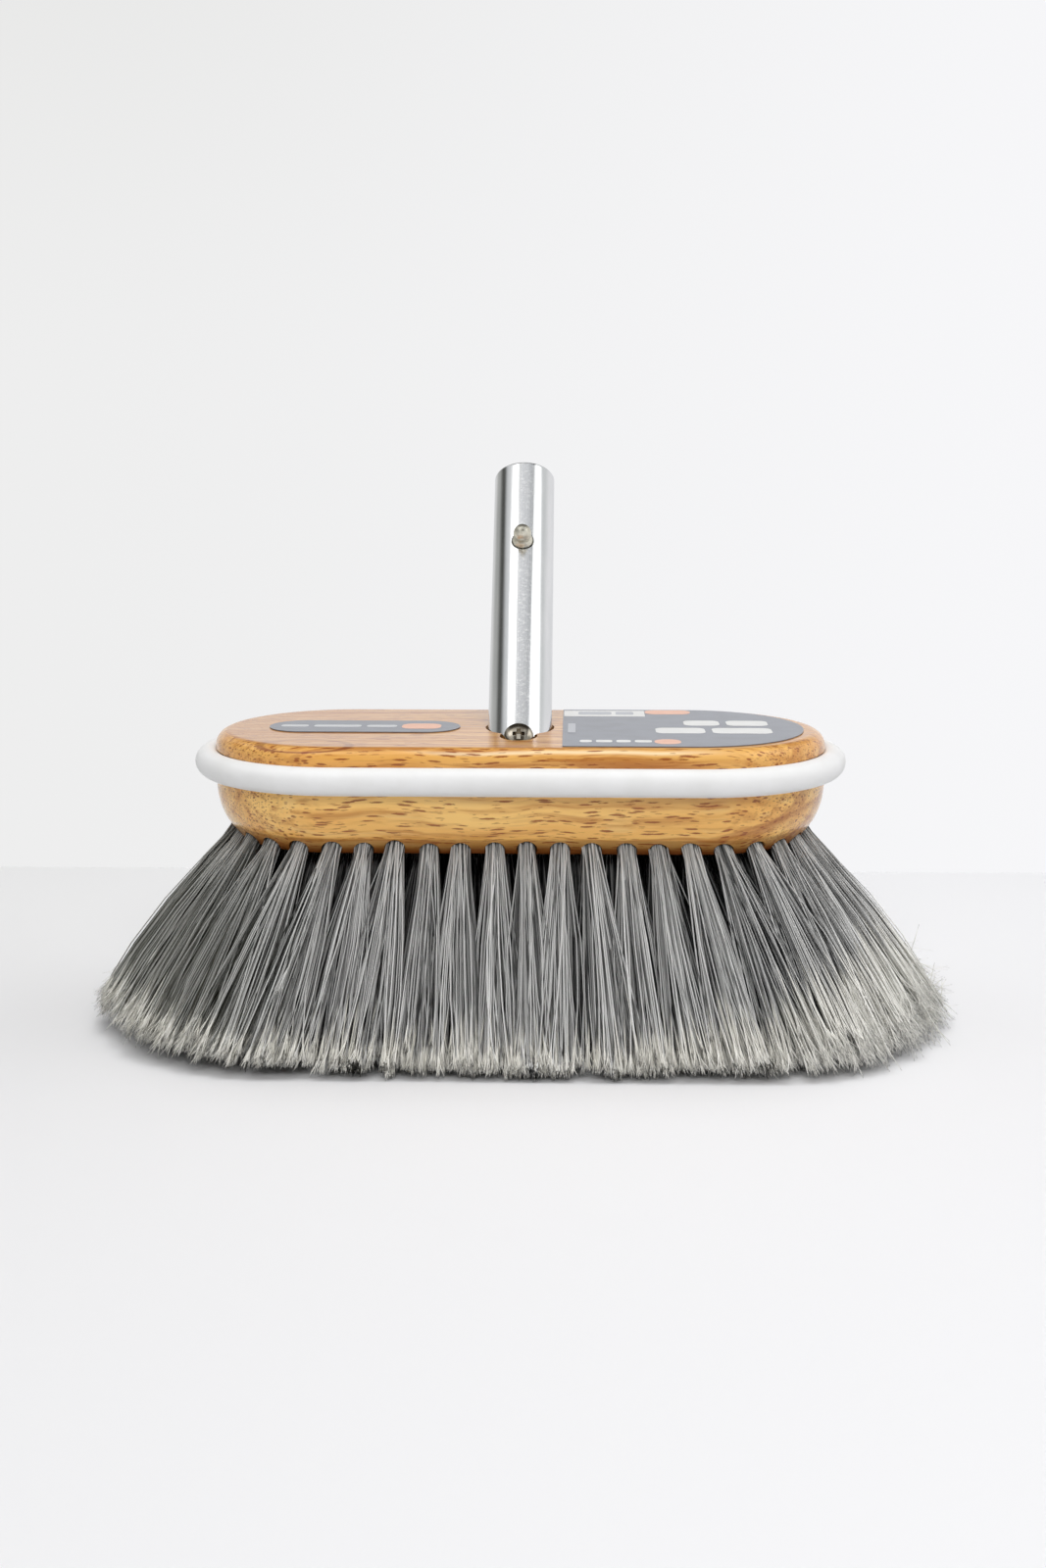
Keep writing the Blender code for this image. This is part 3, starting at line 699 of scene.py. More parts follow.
def white_vinyl():
    """Soft white vinyl with a faint satin grain."""
    colours = ((240, 240, 240), (235, 235, 234))
    settings = {"Specular_IOR_Level": 0.35}
    fine = (2600, 0.00002, 0.35)
    material, cloud = clouded("white_vinyl", (70, 3, 0.3, 0.7), fine, colours, **settings)
    return link_shader(material, Roughness=ramp(cloud, 0.3, 0.7, 0.34, 0.44))


def tube_coordinates(place):
    """Coordinates along the tube: Z up its axis, Y across it, away from the button's side."""
    back = SOCKET_FRAME.inverted()
    inputs = {"Vector": place, "Location": back.translation, "Rotation": back.to_euler()}
    return add_node(place, "Mapping", inputs, vector_type="POINT").outputs[0]


def polished_aluminium():
    """Drawn aluminium: fine die lines up the tube and a scuffed track past the button."""
    material, place = start_material(
        "polished_aluminium", Metallic=1, Specular_Tint=tone(240, 240, 241)
    )
    place = tube_coordinates(place)
    x, y, _ = axes(place)
    lines = noise(scaled(place, (2600, 2600, 14)), detail=3, roughness=0.6)
    cloud = noise(scaled(place, (160, 160, 45)), detail=3)
    off_middle = size_of(minus(x, TRACK_MIDDLE))
    front = ramp(y, -0.004, -0.002, 1, 0)
    track = times(ramp(off_middle, TRACK_HALF, TRACK_HALF + TRACK_FADE, 1, 0), front)
    scratch = noise(scaled(place, (700, 700, 1500)), detail=4, roughness=0.7)
    scratch = ramp(scratch, 0.5, 0.64)
    clean = mixed(ramp(cloud, 0.3, 0.7), (230, 230, 230), (221, 222, 222))
    worn = mixed(scratch, (226, 227, 229), (250, 250, 250))
    return link_shader(
        material,
        Base_Color=mixed(track, clean, worn),
        Roughness=plus(ramp(lines, 0.3, 0.7, 0.12, 0.2), times(track, 0.1)),
        Normal=bumped(plus(lines, times(scratch, track)), 0.000004, 0.4),
    )


def plated_steel(name, bright, dull, low, high):
    """Plated metal with handling marks."""
    fine = (3200, 0.000006, 0.3)
    material, cloud = clouded(name, (420, 4, 0.3, 0.7), fine, (bright, dull), Metallic=1)
    return link_shader(material, Roughness=ramp(cloud, 0.35, 0.7, low, high))


def label_film(name, colour, worn):
    """Printed film under a satin laminate."""
    settings = {"Roughness": 0.45, "Coat_Weight": 0.6, "Coat_Roughness": 0.16, "Coat_IOR": 1.45}
    fine = (3400, 0.00001, 0.25)
    return clouded(name, (130, 3, 0.35, 0.75), fine, (colour, worn), **settings)[0]


def grey_filament():
    """Grey filaments that turn pale where their ends are split."""
    material, place = start_material("grey_filament", Roughness=0.45, Specular_IOR_Level=0.4)
    shade, reach, split = (
        add_node(material.node_tree, "Attribute", attribute_name=name).outputs["Fac"]
        for name in ("shade", "reach", "pale_start")
    )
    x = axes(place)["X"]
    body = mixed(shade, (46, 47, 48), (236, 236, 234))
    # Painted shade and colour cast: the filaments at the left end darker and olive
    body = mixed(ramp(x, -0.13, -0.05, 0.5, 0), body, (94, 94, 76))
    start = minus(split, ramp(x, 0.04, 0.14, 0, 0.32))
    pale = ramp(minus(reach, start), 0, 0.09)
    tip = mixed(shade, (212, 210, 200), (252, 250, 243))
    tip = mixed(ramp(x, 0.05, 0.14, 0, 0.5), tip, (253, 252, 248))
    # Painted shade: the very ends of the filaments darker, as they lie in shadow just over the
    # floor
    end = ramp(reach, 0.988, 1, 0, 0.75)
    return link_shader(material, Base_Color=mixed(end, mixed(pale, body, tip), (70, 70, 67)))


def pale_floor():
    """A pale floor with painted light: a little lighter on the right and towards the back, with a
    very faint unevenness.
    """
    material, place = start_material("pale_floor", Roughness=0.9, Specular_IOR_Level=0.1)
    x, y, _ = axes(place)
    side = plus(ramp(x, -0.3, 0.3), times(noise(place, 1.2), 0.1))
    near = mixed(side, (229, 229, 230), (238, 238, 240))
    far = mixed(side, (237, 237, 237), (243, 243, 245))
    return link_shader(material, Base_Color=mixed(ramp(y, -0.1, 0.2), near, far))


# Pieces


def side_inset(height):
    """How far the curved lower side lies inside the block's outline at a height."""
    drop = max(CURVE_TOP - height, 0)
    return SIDE_CURVE_RADIUS - sqrt(SIDE_CURVE_RADIUS**2 - drop**2)


def block_profile():
    """The block's section, from the middle of its top to the middle of its underside."""
    groove_half = acos(BUMPER_OFFSET / GROOVE_RADIUS)
    round_centre = (END_RADIUS - TOP_ROUNDING, BLOCK_TOP - TOP_ROUNDING)
    groove_centre = (END_RADIUS + BUMPER_OFFSET, BUMPER_HEIGHT)
    chamfer_out = END_RADIUS - side_inset(CHAMFER_TOP)
    chamfer_in = chamfer_out - CHAMFER_DEPTH
    profile = [(0, BLOCK_TOP), (END_RADIUS - TOP_ROUNDING - SUPPORT, BLOCK_TOP)]
    profile += arc(round_centre, TOP_ROUNDING, pi / 2, 0, 10)
    profile += arc(groove_centre, GROOVE_RADIUS, pi - groove_half, pi + groove_half, 8)
    steps = 12
    for step in range(steps):
        height = CURVE_TOP + (CHAMFER_TOP - CURVE_TOP) * step / steps
        profile.append((END_RADIUS - side_inset(height), height))
    profile += [
        (chamfer_out, CHAMFER_TOP + EDGE_SOFTNESS),
        (chamfer_out - EDGE_SOFTNESS, CHAMFER_TOP - EDGE_SOFTNESS),
        (chamfer_in + EDGE_SOFTNESS, BLOCK_BOTTOM + EDGE_SOFTNESS),
        (chamfer_in - EDGE_SOFTNESS, BLOCK_BOTTOM),
        (0, BLOCK_BOTTOM),
    ]
    return profile


def edge_tufts(side_y):
    """Middles and directions of the outer tufts along one long side."""
    tufts = []
    for number in range(EDGE_TUFTS):
        x = STRAIGHT * ((number + 0.5) / EDGE_TUFTS - 0.5) - side_y * TUFT_SHIFT
        tufts.append((x, side_y * EDGE_TUFT_RADIUS, 0.0, float(side_y)))
    return tufts


def end_tufts(side_x):
    """Middles and directions of the outer tufts round one end."""
    tufts = []
    for number in range(EDGE_TUFTS):
        angle = pi * ((number + 0.5) / EDGE_TUFTS - 0.5)
        angle += side_x * TUFT_SHIFT / EDGE_TUFT_RADIUS
        out_x, out_y = cos(angle) * side_x, sin(angle)
        x = side_x * STRAIGHT / 2 + out_x * EDGE_TUFT_RADIUS
        tufts.append((x, out_y * EDGE_TUFT_RADIUS, out_x, out_y))
    return tufts


def row_tufts(row, side_x):
    """Middles of the tufts of half an inner row; they have no outward side."""
    y = OUTER_ROW_Y * (2 * row / (ROW_COUNT - 1) - 1)
    reach = STRAIGHT / 2 + sqrt(INNER_ROW_RADIUS**2 - y**2)
    count = round(reach / ROW_TUFT_PITCH + 0.5)
    pitch = reach / (count - 0.5)
    return [(side_x * pitch * (number + 0.5), y, 0, 0) for number in range(count)]


def all_groups():
    """Every group of tufts with the solid that it stands for."""
    groups = {
        "bristles_front": edge_tufts(-1),
        "bristles_back": edge_tufts(1),
        "bristles_left_end": end_tufts(-1),
        "bristles_right_end": end_tufts(1),
    }
    for row in range(ROW_COUNT):
        groups[f"bristles_row_{row + 1}_left"] = row_tufts(row, -1)
        groups[f"bristles_row_{row + 1}_right"] = row_tufts(row, 1)
    rng = np.random.default_rng(SEED)
    for name, tufts in groups.items():
        shifts = rng.normal(0, TUFT_JITTER, (len(tufts), 2))
        groups[name] = [
            (x + dx, y + dy, out_x, out_y) for (x, y, out_x, out_y), (dx, dy) in zip(tufts, shifts)
        ]
    return groups


def splayed(x, y):
    """Where a bristle that leaves the block at (x, y) meets the floor."""
    share = x / EDGE_TUFT_REACH
    spread = SIDE_SPLAY / EDGE_TUFT_RADIUS + CORNER_SPLAY * share**2
    return x + END_SPLAY * share * abs(share), y * (1 + spread)


def bow_along(foot_x):
    """How much a bristle sags inwards along the block, or flares outwards near the ends."""
    return BOW - END_BOW * (foot_x / (EDGE_TUFT_REACH + END_SPLAY)) ** 2


def tuft_holes():
    """Cutters for all the tuft holes, each drilled along its tuft."""
    holes = []
    for tufts in all_groups().values():
        for x, y, _, _ in tufts:
            foot_x, foot_y = splayed(x, y)
            along = (foot_x - x) * (1 - bow_along(foot_x))
            fall = Vector((along, (foot_y - y) * (1 - BOW), -BLOCK_BOTTOM))
            turn = (-fall).to_track_quat("Z", "Y").to_matrix().to_4x4()
            mouth = Vector((x, y + BLOCK_CENTRE_Y, BLOCK_BOTTOM))
            placed = Matrix.Translation(mouth) @ turn
            holes.append(drill("hole", HOLE_RADIUS, -HOLE_DEPTH, HOLE_DEPTH, placed, HOLE_SIDES))
    return join(holes)


def make_block():
    """The wooden block with its groove, socket, counterbore and tuft holes."""
    front = BLOCK_CENTRE_Y
    line = [(STRAIGHT / 2, front - radius, height) for radius, height in block_profile()]
    block = sweep_round_block(draw_line("wooden_block", line))
    bore = SCREW_HEAD_DIAMETER / 2 + COUNTERBORE_CLEARANCE
    socket = SOCKET_FRAME @ Matrix.Translation((0, SOCKET_SHIFT, 0))
    pilot_end = -TUBE_RADIUS - SCREW_WOOD_LENGTH - SEAT_GAP
    cut(
        block,
        drill("socket", TUBE_RADIUS + SOCKET_CLEARANCE, -SOCKET_DEPTH, TUBE_DIAMETER, socket),
        drill("counterbore", bore, TUBE_RADIUS - 2 * TUBE_WALL, BLOCK_THICKNESS, SCREW_FRAME),
        drill("pilot", PILOT_RADIUS, pilot_end, 0, SCREW_FRAME, 32),
        tuft_holes(),
    )
    smooth(block)
    finish_piece(block, varnished_wood(), "wood", "block")


def make_bumper():
    """The round-section ring in the groove."""
    pick()
    bpy.ops.mesh.primitive_circle_add(
        vertices=BUMPER_SIDES,
        radius=BUMPER_DIAMETER / 2,
        location=(STRAIGHT / 2, BLOCK_CENTRE_Y - END_RADIUS - BUMPER_OFFSET, BUMPER_HEIGHT),
        rotation=(pi / 2, 0, pi / 2),
    )
    ring = sweep_round_block(open_piece("bumper_ring_vinyl"))
    smooth(ring)
    finish_piece(ring, white_vinyl(), "bumper", "bumper_ring")


def make_tube():
    """The handle tube with rounded rims, drilled for the button and the screw."""
    bore = TUBE_RADIUS - TUBE_WALL
    soft = TUBE_RIM_ROUNDING
    top = TUBE_FREE_LENGTH
    foot = -TUBE_BURIED_LENGTH
    profile = [(TUBE_RADIUS, foot), (TUBE_RADIUS, top - soft - SUPPORT)]
    profile += arc((TUBE_RADIUS - soft, top - soft), soft, 0, pi / 2, 5)
    profile += arc((bore + soft, top - soft), soft, pi / 2, pi, 5)
    profile += [(bore, top - soft - SUPPORT), (bore, foot), (TUBE_RADIUS, foot)]
    tube = turn_on_axis("tube_aluminium", profile, TUBE_SIDES, SOCKET_FRAME)
    outside = TUBE_RADIUS + OVERRUN
    hole = BUTTON_DIAMETER / 2 + BUTTON_CLEARANCE
    cut(
        tube,
        drill("button hole", hole, 0, outside, BUTTON_FRAME, 48),
        drill("screw hole", PILOT_RADIUS, -outside, outside, SCREW_FRAME, 32),
    )
    smooth(tube)
    finish_piece(tube, polished_aluminium(), "tube", "handle_tube")


def make_screw():
    """The pan-head screw with its tapered cross recess."""
    head = SCREW_HEAD_DIAMETER / 2
    shank = SCREW_SHANK_DIAMETER / 2
    seat = TUBE_RADIUS + SEAT_GAP
    tip = -TUBE_RADIUS - SCREW_WOOD_LENGTH
    crown = SCREW_HEAD_HEIGHT - SCREW_HEAD_EDGE
    top = seat + SCREW_HEAD_HEIGHT
    profile = [(0, top)]
    for step in range(1, CROWN_STEPS + 1):
        angle = pi / 2 * step / CROWN_STEPS
        height = seat + SCREW_HEAD_EDGE + crown * cos(angle)
        profile.append((head * sin(angle), height))
    soft = SCREW_EDGE_SOFTNESS
    profile += [(head, seat + soft), (head - soft, seat), (shank, seat)]
    profile += [(shank, tip + SCREW_POINT_LENGTH), (0, tip)]
    screw = turn_on_axis("screw_steel", profile, 64, SCREW_FRAME)
    wings = []
    for turn in (0, pi / 2):
        pick()
        bpy.ops.mesh.primitive_cube_add(size=1)
        wing = open_piece("recess")
        bpy.ops.transform.resize(value=(RECESS_LENGTH, RECESS_WIDTH, 2 * RECESS_DEPTH))
        select_where(wing, lambda point: point.z < 0)
        bpy.ops.transform.resize(value=RECESS_TAPER_SHARES)
        placed = SCREW_FRAME @ Matrix.Translation((0, 0, top)) @ Matrix.Rotation(turn, 4, "Z")
        wings.append(close_piece(wing, placed))
    cut(screw, *wings)
    smooth(screw)
    steel = plated_steel("bright_steel", (196, 188, 174), (140, 131, 116), 0.14, 0.24)
    finish_piece(screw, steel, "screw", "cross_screw")


def make_button():
    """The domed button on its skirt, with the flange and tail inside the tube."""
    radius = BUTTON_DIAMETER / 2
    skirt = radius + BUTTON_SKIRT_LIP
    dome = TUBE_RADIUS + BUTTON_PROTRUSION - radius
    skirt_top = TUBE_RADIUS + BUTTON_SKIRT_HEIGHT
    profile = arc((0, dome), radius, pi / 2, DOME_END, 22)
    profile[0] = (0, dome + radius)
    profile += [
        (radius - DOME_INSET, skirt_top),
        (radius, skirt_top - SKIRT_SLOPE),
        (skirt - SKIRT_TAPER, TUBE_RADIUS + SKIRT_FOOT),
        (skirt, TUBE_RADIUS),
        (skirt, FLANGE_TOP),
        (FLANGE_RADIUS, FLANGE_TOP),
        (FLANGE_RADIUS, FLANGE_TOP - FLANGE_THICKNESS),
        (NECK_RADIUS, FLANGE_TOP - FLANGE_THICKNESS),
        (NECK_RADIUS, TAIL_TOP),
        (NECK_RADIUS + TAIL_LIP, TAIL_TOP),
        (NECK_RADIUS + TAIL_LIP, TAIL_TOP - TAIL_THICKNESS),
        (0, TAIL_TOP - TAIL_THICKNESS),
    ]
    button = turn_on_axis("button_nickel", profile, 64, BUTTON_FRAME)
    smooth(button)
    nickel = plated_steel("warm_nickel", (230, 226, 211), (202, 197, 181), 0.4, 0.5)
    finish_piece(button, nickel, "button", "snap_button", body="button")


def plate(name, low, high, corner, bottom, thickness, right_only=False):
    """A thin plate with rounded corners, lying level."""
    low, high = Vector(low), Vector(high)
    pick()
    bpy.ops.mesh.primitive_plane_add(size=1, location=(*(low + high) / 2, bottom))
    piece = open_piece(name)
    bpy.ops.transform.resize(value=(high.x - low.x, high.y - low.y, 1))
    select_where(piece, lambda point: point.x > 0 or not right_only)
    bpy.ops.mesh.bevel(offset=corner, segments=24, affect="VERTICES")
    bpy.ops.mesh.select_all(action="SELECT")
    extrude_by((0, 0, thickness))
    return close_piece(piece)


def print_bars(name, bars, film, level):
    """Bars of one colour, as one piece."""
    made = []
    for y0, y1, corner, *spans in bars:
        for x0, x1 in spans:
            low = (x0, y0 + BLOCK_CENTRE_Y)
            high = (x1, y1 + BLOCK_CENTRE_Y)
            made.append(plate(name, low, high, corner, level, PRINT_THICKNESS))
    piece = join(made)
    piece.name = name
    finish_piece(piece, film, "label")


def make_labels():
    """The large label and the oval one, with plain printed bars."""
    base = BLOCK_TOP + LABEL_LIFT
    ink = base + LABEL_THICKNESS
    middle = BLOCK_CENTRE_Y
    radius = LARGE_LABEL_RADIUS
    start = LARGE_LABEL_START
    large = plate(
        "large_label_film",
        (start, middle - radius),
        (LARGE_LABEL_CENTRE + radius, middle + radius),
        radius - CORNER_LEEWAY,
        base,
        LABEL_THICKNESS,
        right_only=True,
    )
    half = OVAL_LABEL_LENGTH / 2
    oval = plate(
        "oval_label_film",
        (OVAL_LABEL_CENTRE - half, middle - OVAL_LABEL_WIDTH / 2),
        (OVAL_LABEL_CENTRE + half, middle + OVAL_LABEL_WIDTH / 2),
        OVAL_LABEL_WIDTH / 2 - CORNER_LEEWAY,
        base,
        LABEL_THICKNESS,
    )
    grey = label_film("slate_grey_film", (121, 126, 137), (115, 119, 129))
    white = label_film("pale_print", (232, 232, 230), (224, 224, 222))
    soft = label_film("soft_print", (200, 202, 206), (194, 196, 200))
    dim = label_film("faint_print", (176, 179, 187), (170, 173, 181))
    warm = label_film("orange_print", (240, 180, 148), (236, 172, 140))
    finish_piece(large, grey, "label", "label_large")
    finish_piece(oval, grey, "label", "label_oval")
    print_bars("large_label_pale_bars", LARGE_PALE_BARS, white, ink)
    print_bars("large_label_faint_bars", LARGE_FAINT_BARS, dim, ink + PRINT_THICKNESS)
    print_bars("large_label_orange_bars", LARGE_ORANGE_BARS, warm, ink)
    print_bars("oval_label_pale_bars", OVAL_PALE_BARS, soft, ink)
    print_bars("oval_label_orange_bar", OVAL_ORANGE_BARS, warm, ink)


def master_filament(name, heights, taper):
    """One three-sided filament of unit length and radius, with rings at given heights."""
    pick()
    bpy.ops.mesh.primitive_cylinder_add(vertices=3, radius=1, depth=1, location=(0, 0, 0.5))
    piece = open_piece(name)
    for height in heights:
        bpy.ops.mesh.select_all(action="SELECT")
        bpy.ops.mesh.bisect(plane_co=(0, 0, height), plane_no=(0, 0, 1))
    select_where(piece, lambda point: point.z > 0.49)
    bpy.ops.transform.resize(value=(taper, taper, 1))
    close_piece(piece)
    points = np.array([vert.co for vert in piece.data.vertices])
    faces = [tuple(face.vertices) for face in piece.data.polygons]
    bpy.data.objects.remove(piece, do_unlink=True)
    return points, faces


def copies_of(master, path, radii, turns):
    """Many copies of a filament, bent along paths that turn shares of the way into points."""
    points, _ = master
    share = np.broadcast_to(points[:, 2], (len(radii), len(points)))
    middles = path(share)
    spin = np.stack([np.cos(turns), np.sin(turns)], 1)
    x = points[:, 0] * spin[:, :1] - points[:, 1] * spin[:, 1:]
    y = points[:, 0] * spin[:, 1:] + points[:, 1] * spin[:, :1]
    middles[..., 0] += x * radii[:, None]
    middles[..., 1] += y * radii[:, None]
    return middles, share


def in_disc(count, reach, rng):
    """Random places in a disc, whose radius is the root of the reach."""
    angle = rng.uniform(0, 2 * pi, count)
    radius = np.sqrt(rng.uniform(0, reach, count))
    return np.stack([radius * np.cos(angle), radius * np.sin(angle)], 1)


def clumped(count, rng):
    """Where a tuft's filaments start and end in a unit disc, and the clump of each."""
    unit = in_disc(count, 1, rng)
    spots = in_disc(CLUMPS, CLUMP_REACH, rng)
    nearest = np.argmin(((unit[:, None] - spots[None]) ** 2).sum(2), 1)
    crossing = rng.uniform(0, 1, count) < CROSSING_SHARE
    clump = np.where(crossing, rng.integers(0, CLUMPS, count), nearest)
    return unit, unit + (spots[clump] - unit) * CLUMP_PULL, clump


def tip_heights(edge, share, unit, clump, loose, rng):
    """How high each tip ends over the floor: more at the ends of the brush and in front."""
    count = len(unit)
    outer = np.clip((unit[:, 1] + 0.7) / 1.1, 0, 1) if edge else np.zeros(count)
    rise = np.where(share < 0, *TIP_RISE_LEFT_RIGHT) * np.abs(share) ** 1.7
    flare = np.where(share < 0, *FLARE_LEFT_RIGHT) * np.abs(share) ** 3
    flare *= outer * rng.uniform(0, 1, count) ** 1.5
    level = (TIP_LIFT if edge else TIP_FLOOR) + rise + flare
    level = level + rng.normal(0, CLUMP_RAGGED, CLUMPS)[clump]
    tip = np.maximum(level + rng.exponential(TIP_RAGGED, count) - TIP_SINK, TIP_LOWEST)
    return tip + np.where(loose, rng.uniform(*LOOSE_LIFT, count), 0)


def shades(edge, unit, clump, loose, rng):
    """How pale each filament is, how thick, and where along it the pale end starts."""
    count = len(unit)
    dark = rng.uniform(0, 1, count) < DARK_SHARE
    shade = np.where(dark, DARK_SHADE, LIGHT_SHADE) + rng.normal(0, SHADE_SPREAD, count)
    shade += rng.normal(0, CLUMP_SHADE_SPREAD, CLUMPS)[clump]
    # painted shade: the rear of each outer tuft and the inner rows darker, as in the tufts' own
    # shadow
    shade -= PAINTED_DEPTH_SHADE * (1 - unit[:, 1]) / 2 if edge else PAINTED_INNER_SHADE
    shade = np.clip(np.where(loose, LOOSE_SHADE, shade), 0, 1)
    thickness = rng.uniform(0.85, 1.15, count) * np.where(loose, LOOSE_THICKNESS, 1)
    # painted shade: the inner side of each outer tuft, and the inner rows, keep dark ends in place
    # of pale split ends, as they lie in shadow under the brush
    inner = 1 - np.clip((unit[:, 1] + 0.4) / 0.6, 0, 1) if edge else 1.0
    pale_start = rng.normal(PALE_START, PALE_SPREAD, count)
    pale_start += (INNER_PALE_START - PALE_START) * inner
    pale_start += rng.normal(0, PALE_SPREAD, CLUMPS)[clump]
    return shade, thickness, pale_start


def filament_paths(tufts, count, rng):
    """Start, end, bend and shade of every filament in some tufts, with one row each."""
    rows = []
    for x, y, out_x, out_y in tufts:
        edge = bool(out_x or out_y)
        ahead = np.array((out_x, out_y)) if edge else np.array((0.0, 1.0))
        along = np.array((-ahead[1], ahead[0]))
        lean = along * rng.normal(0, TUFT_LEAN)
        unit, pulled, clump = clumped(count, rng)
        stray = rng.uniform(0, 1, count) < STRAY_SHARE
        loose = edge & (rng.uniform(0, 1, count) < LOOSE_SHARE)
        reach = np.where(stray, STRAY_SPREAD, TIP_SPREAD)
        ahead_by = pulled[:, 1] * reach + rng.normal(0, TIP_NOISE, count)
        along_by = pulled[:, 0] * reach + rng.normal(0, TIP_NOISE, count)
        along_by += np.where(loose, rng.normal(0, LOOSE_SPREAD, count), 0)
        if edge:
            ahead_by = np.minimum(ahead_by * 0.7, TIP_SPREAD_OUTWARD)
            ahead_by = np.where(loose, TIP_SPREAD_OUTWARD, ahead_by)
        root = unit[:, :1] * along + unit[:, 1:] * ahead
        foot = along_by[:, None] * along + ahead_by[:, None] * ahead + lean
        x0 = x + root[:, 0] * ROOT_SPREAD
        y0 = y + root[:, 1] * ROOT_SPREAD
        x1, y1 = splayed(x + foot[:, 0], y + foot[:, 1])
        share = x1 / (EDGE_TUFT_REACH + END_SPLAY)
        tip = tip_heights(edge, share, unit, clump, loose, rng)
        wave = rng.normal(0, 1, (count, 2)) * np.where(loose, LOOSE_WAVE, WAVE)[:, None]
        uneven = rng.normal(0, BOW_SPREAD, count)
        bows = np.column_stack([bow_along(x1) + uneven, BOW + uneven])
        tints = shades(edge, unit, clump, loose, rng)
        frizz = 1 + np.where(share < 0, *FRIZZ_LEFT_RIGHT) * np.abs(share) ** 4
        rows.append(np.column_stack([x0, y0, x1, y1, tip, wave, bows, *tints, frizz]))
    return np.concatenate(rows)


def points_on(rows, fall):
    """Points on the filaments' paths, at shares of the fall from the block to the floor."""
    columns = (column[:, None] for column in rows.T[:9])
    x0, y0, x1, y1, _, wave_x, wave_y, bow_x, bow_y = columns
    below = np.maximum(fall, 0)
    bend = below**2 - fall
    swing = np.sin(pi * below)
    x = x0 + (x1 - x0) * (fall + bow_x * bend) + wave_x * swing
    y = y0 + (y1 - y0) * (fall + bow_y * bend) + wave_y * swing + BLOCK_CENTRE_Y
    return np.stack([x, y, BLOCK_BOTTOM * (1 - fall)], 2)


def split_ends(rows, end, master, rng):
    """One split end of every filament: its points, shares of the way, shades and pale starts."""
    total = len(rows)
    shade, _, pale_start, frizz = rows.T[9:]
    length = rng.uniform(*FLAG_LENGTH_SHARES, (total, 1))
    drift = rng.normal(0, FLAG_DRIFT, (total, 2)) * frizz[:, None]
    lift = rng.normal(0, FLAG_LIFT, (total, 1)) * frizz[:, None] ** 2
    turns = rng.uniform(0, 2 * pi, total)

    def path(share):
        middles = points_on(rows, end - length * (1 - share))
        middles[..., :2] += drift[:, None] * (share**1.5)[..., None]
        middles[..., 2] = np.maximum(middles[..., 2] + lift * share, FLAG_LOWEST)
        return middles

    flags, share = copies_of(master, path, np.full(total, FLAG_RADIUS), turns)
    shade = np.clip(shade + rng.normal(0, FLAG_SHADE_SPREAD, total), 0, 1)
    return flags, 1 - length * (1 - share), shade, pale_start - FLAG_PALE_LEAD, master[1]


def filament_mesh(name, parts):
    """One mesh of all the copies, kept near the solids' box, with shades on its points."""
    points, faces, values = [], [], []
    offset = 0
    for copies, share, shade, pale_start, template in parts:
        size = copies.shape[1]
        points.append(copies.reshape(-1, 3))
        each = (np.repeat(shade, size), np.repeat(pale_start, size))
        values.append((np.asarray(share).reshape(-1), *each))
        steps = offset + size * np.arange(len(copies))
        for face in template:
            faces.extend((np.array(face) + steps[:, None]).tolist())
        offset += size * len(copies)
    low, high = np.array(cad_box)
    edge = 2 * FLAG_RADIUS
    points = np.clip(np.concatenate(points), low + (edge, edge - FRINGE, 0), high - edge)
    mesh = bpy.data.meshes.new(name)
    mesh.from_pydata(points.tolist(), [], faces)
    for label, column in zip(("reach", "shade", "pale_start"), zip(*values)):
        made = mesh.attributes.new(label, "FLOAT", "POINT")
        made.data.foreach_set("value", np.concatenate(column).astype(np.float32))
    mesh.shade_smooth()
    return mesh


def make_filaments(name, tufts, count, masters, material, rng):
    """All the filaments of one group of tufts, with their split ends."""
    rows = filament_paths(tufts, count, rng)
    start = -ROOT_DEPTH / BLOCK_BOTTOM
    end = (1 - rows[:, 4] / BLOCK_BOTTOM)[:, None]
    shade, thickness, pale_start, _ = rows.T[9:]
    turns = rng.uniform(0, 2 * pi, len(rows))
    body, share = copies_of(
        masters[0],
        lambda share: points_on(rows, start + (end - start) * share),
        FILAMENT_RADIUS * thickness,
        turns,
    )
    parts = [(body, share, shade, pale_start, masters[0][1])]
    parts += [split_ends(rows, end, masters[1], rng) for _ in range(FLAGS_PER_FILAMENT)]
    piece = bpy.data.objects.new(name, filament_mesh(name, parts))
    bpy.context.scene.collection.objects.link(piece)
    finish_piece(piece, material, "bristle", name.replace("filaments", "bristles"))


def make_bristles():
    """Every group of filaments, copied from one whole filament and one split end."""
    rng = np.random.default_rng(SEED)
    masters = (
        master_filament("filament", (0.2, 0.45, 0.7, 0.88), 0.5),
        master_filament("split_end", (0.5,), 0.35),
    )
    material = grey_filament()
    for group, tufts in all_groups().items():
        count = FILAMENTS_IN_ROW_TUFT if "row" in group else FILAMENTS_IN_EDGE_TUFT
        name = group.replace("bristles", "filaments")
        make_filaments(name, tufts, count, masters, material, rng)


def dress_spring():
    """The leaf spring keeps its solid and takes a spring steel finish."""
    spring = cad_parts["button_spring"]
    steel = plated_steel("spring_steel", (150, 150, 152), (122, 122, 126), 0.24, 0.4)
    spring.data.materials.clear()
    spring.data.materials.append(steel)


# Floor, light and camera


def make_floor():
    """The floor, which ends where the photograph's backdrop starts."""
    pick()
    bpy.ops.mesh.primitive_plane_add(size=1)
    floor = open_piece("floor")
    bpy.ops.transform.resize(value=(FLOOR_WIDTH, FLOOR_DEPTH, 1))
    bpy.ops.transform.translate(value=(0, FLOOR_END - FLOOR_DEPTH / 2, 0))
    bpy.ops.object.mode_set(mode="OBJECT")
    floor.data.materials.append(pale_floor())


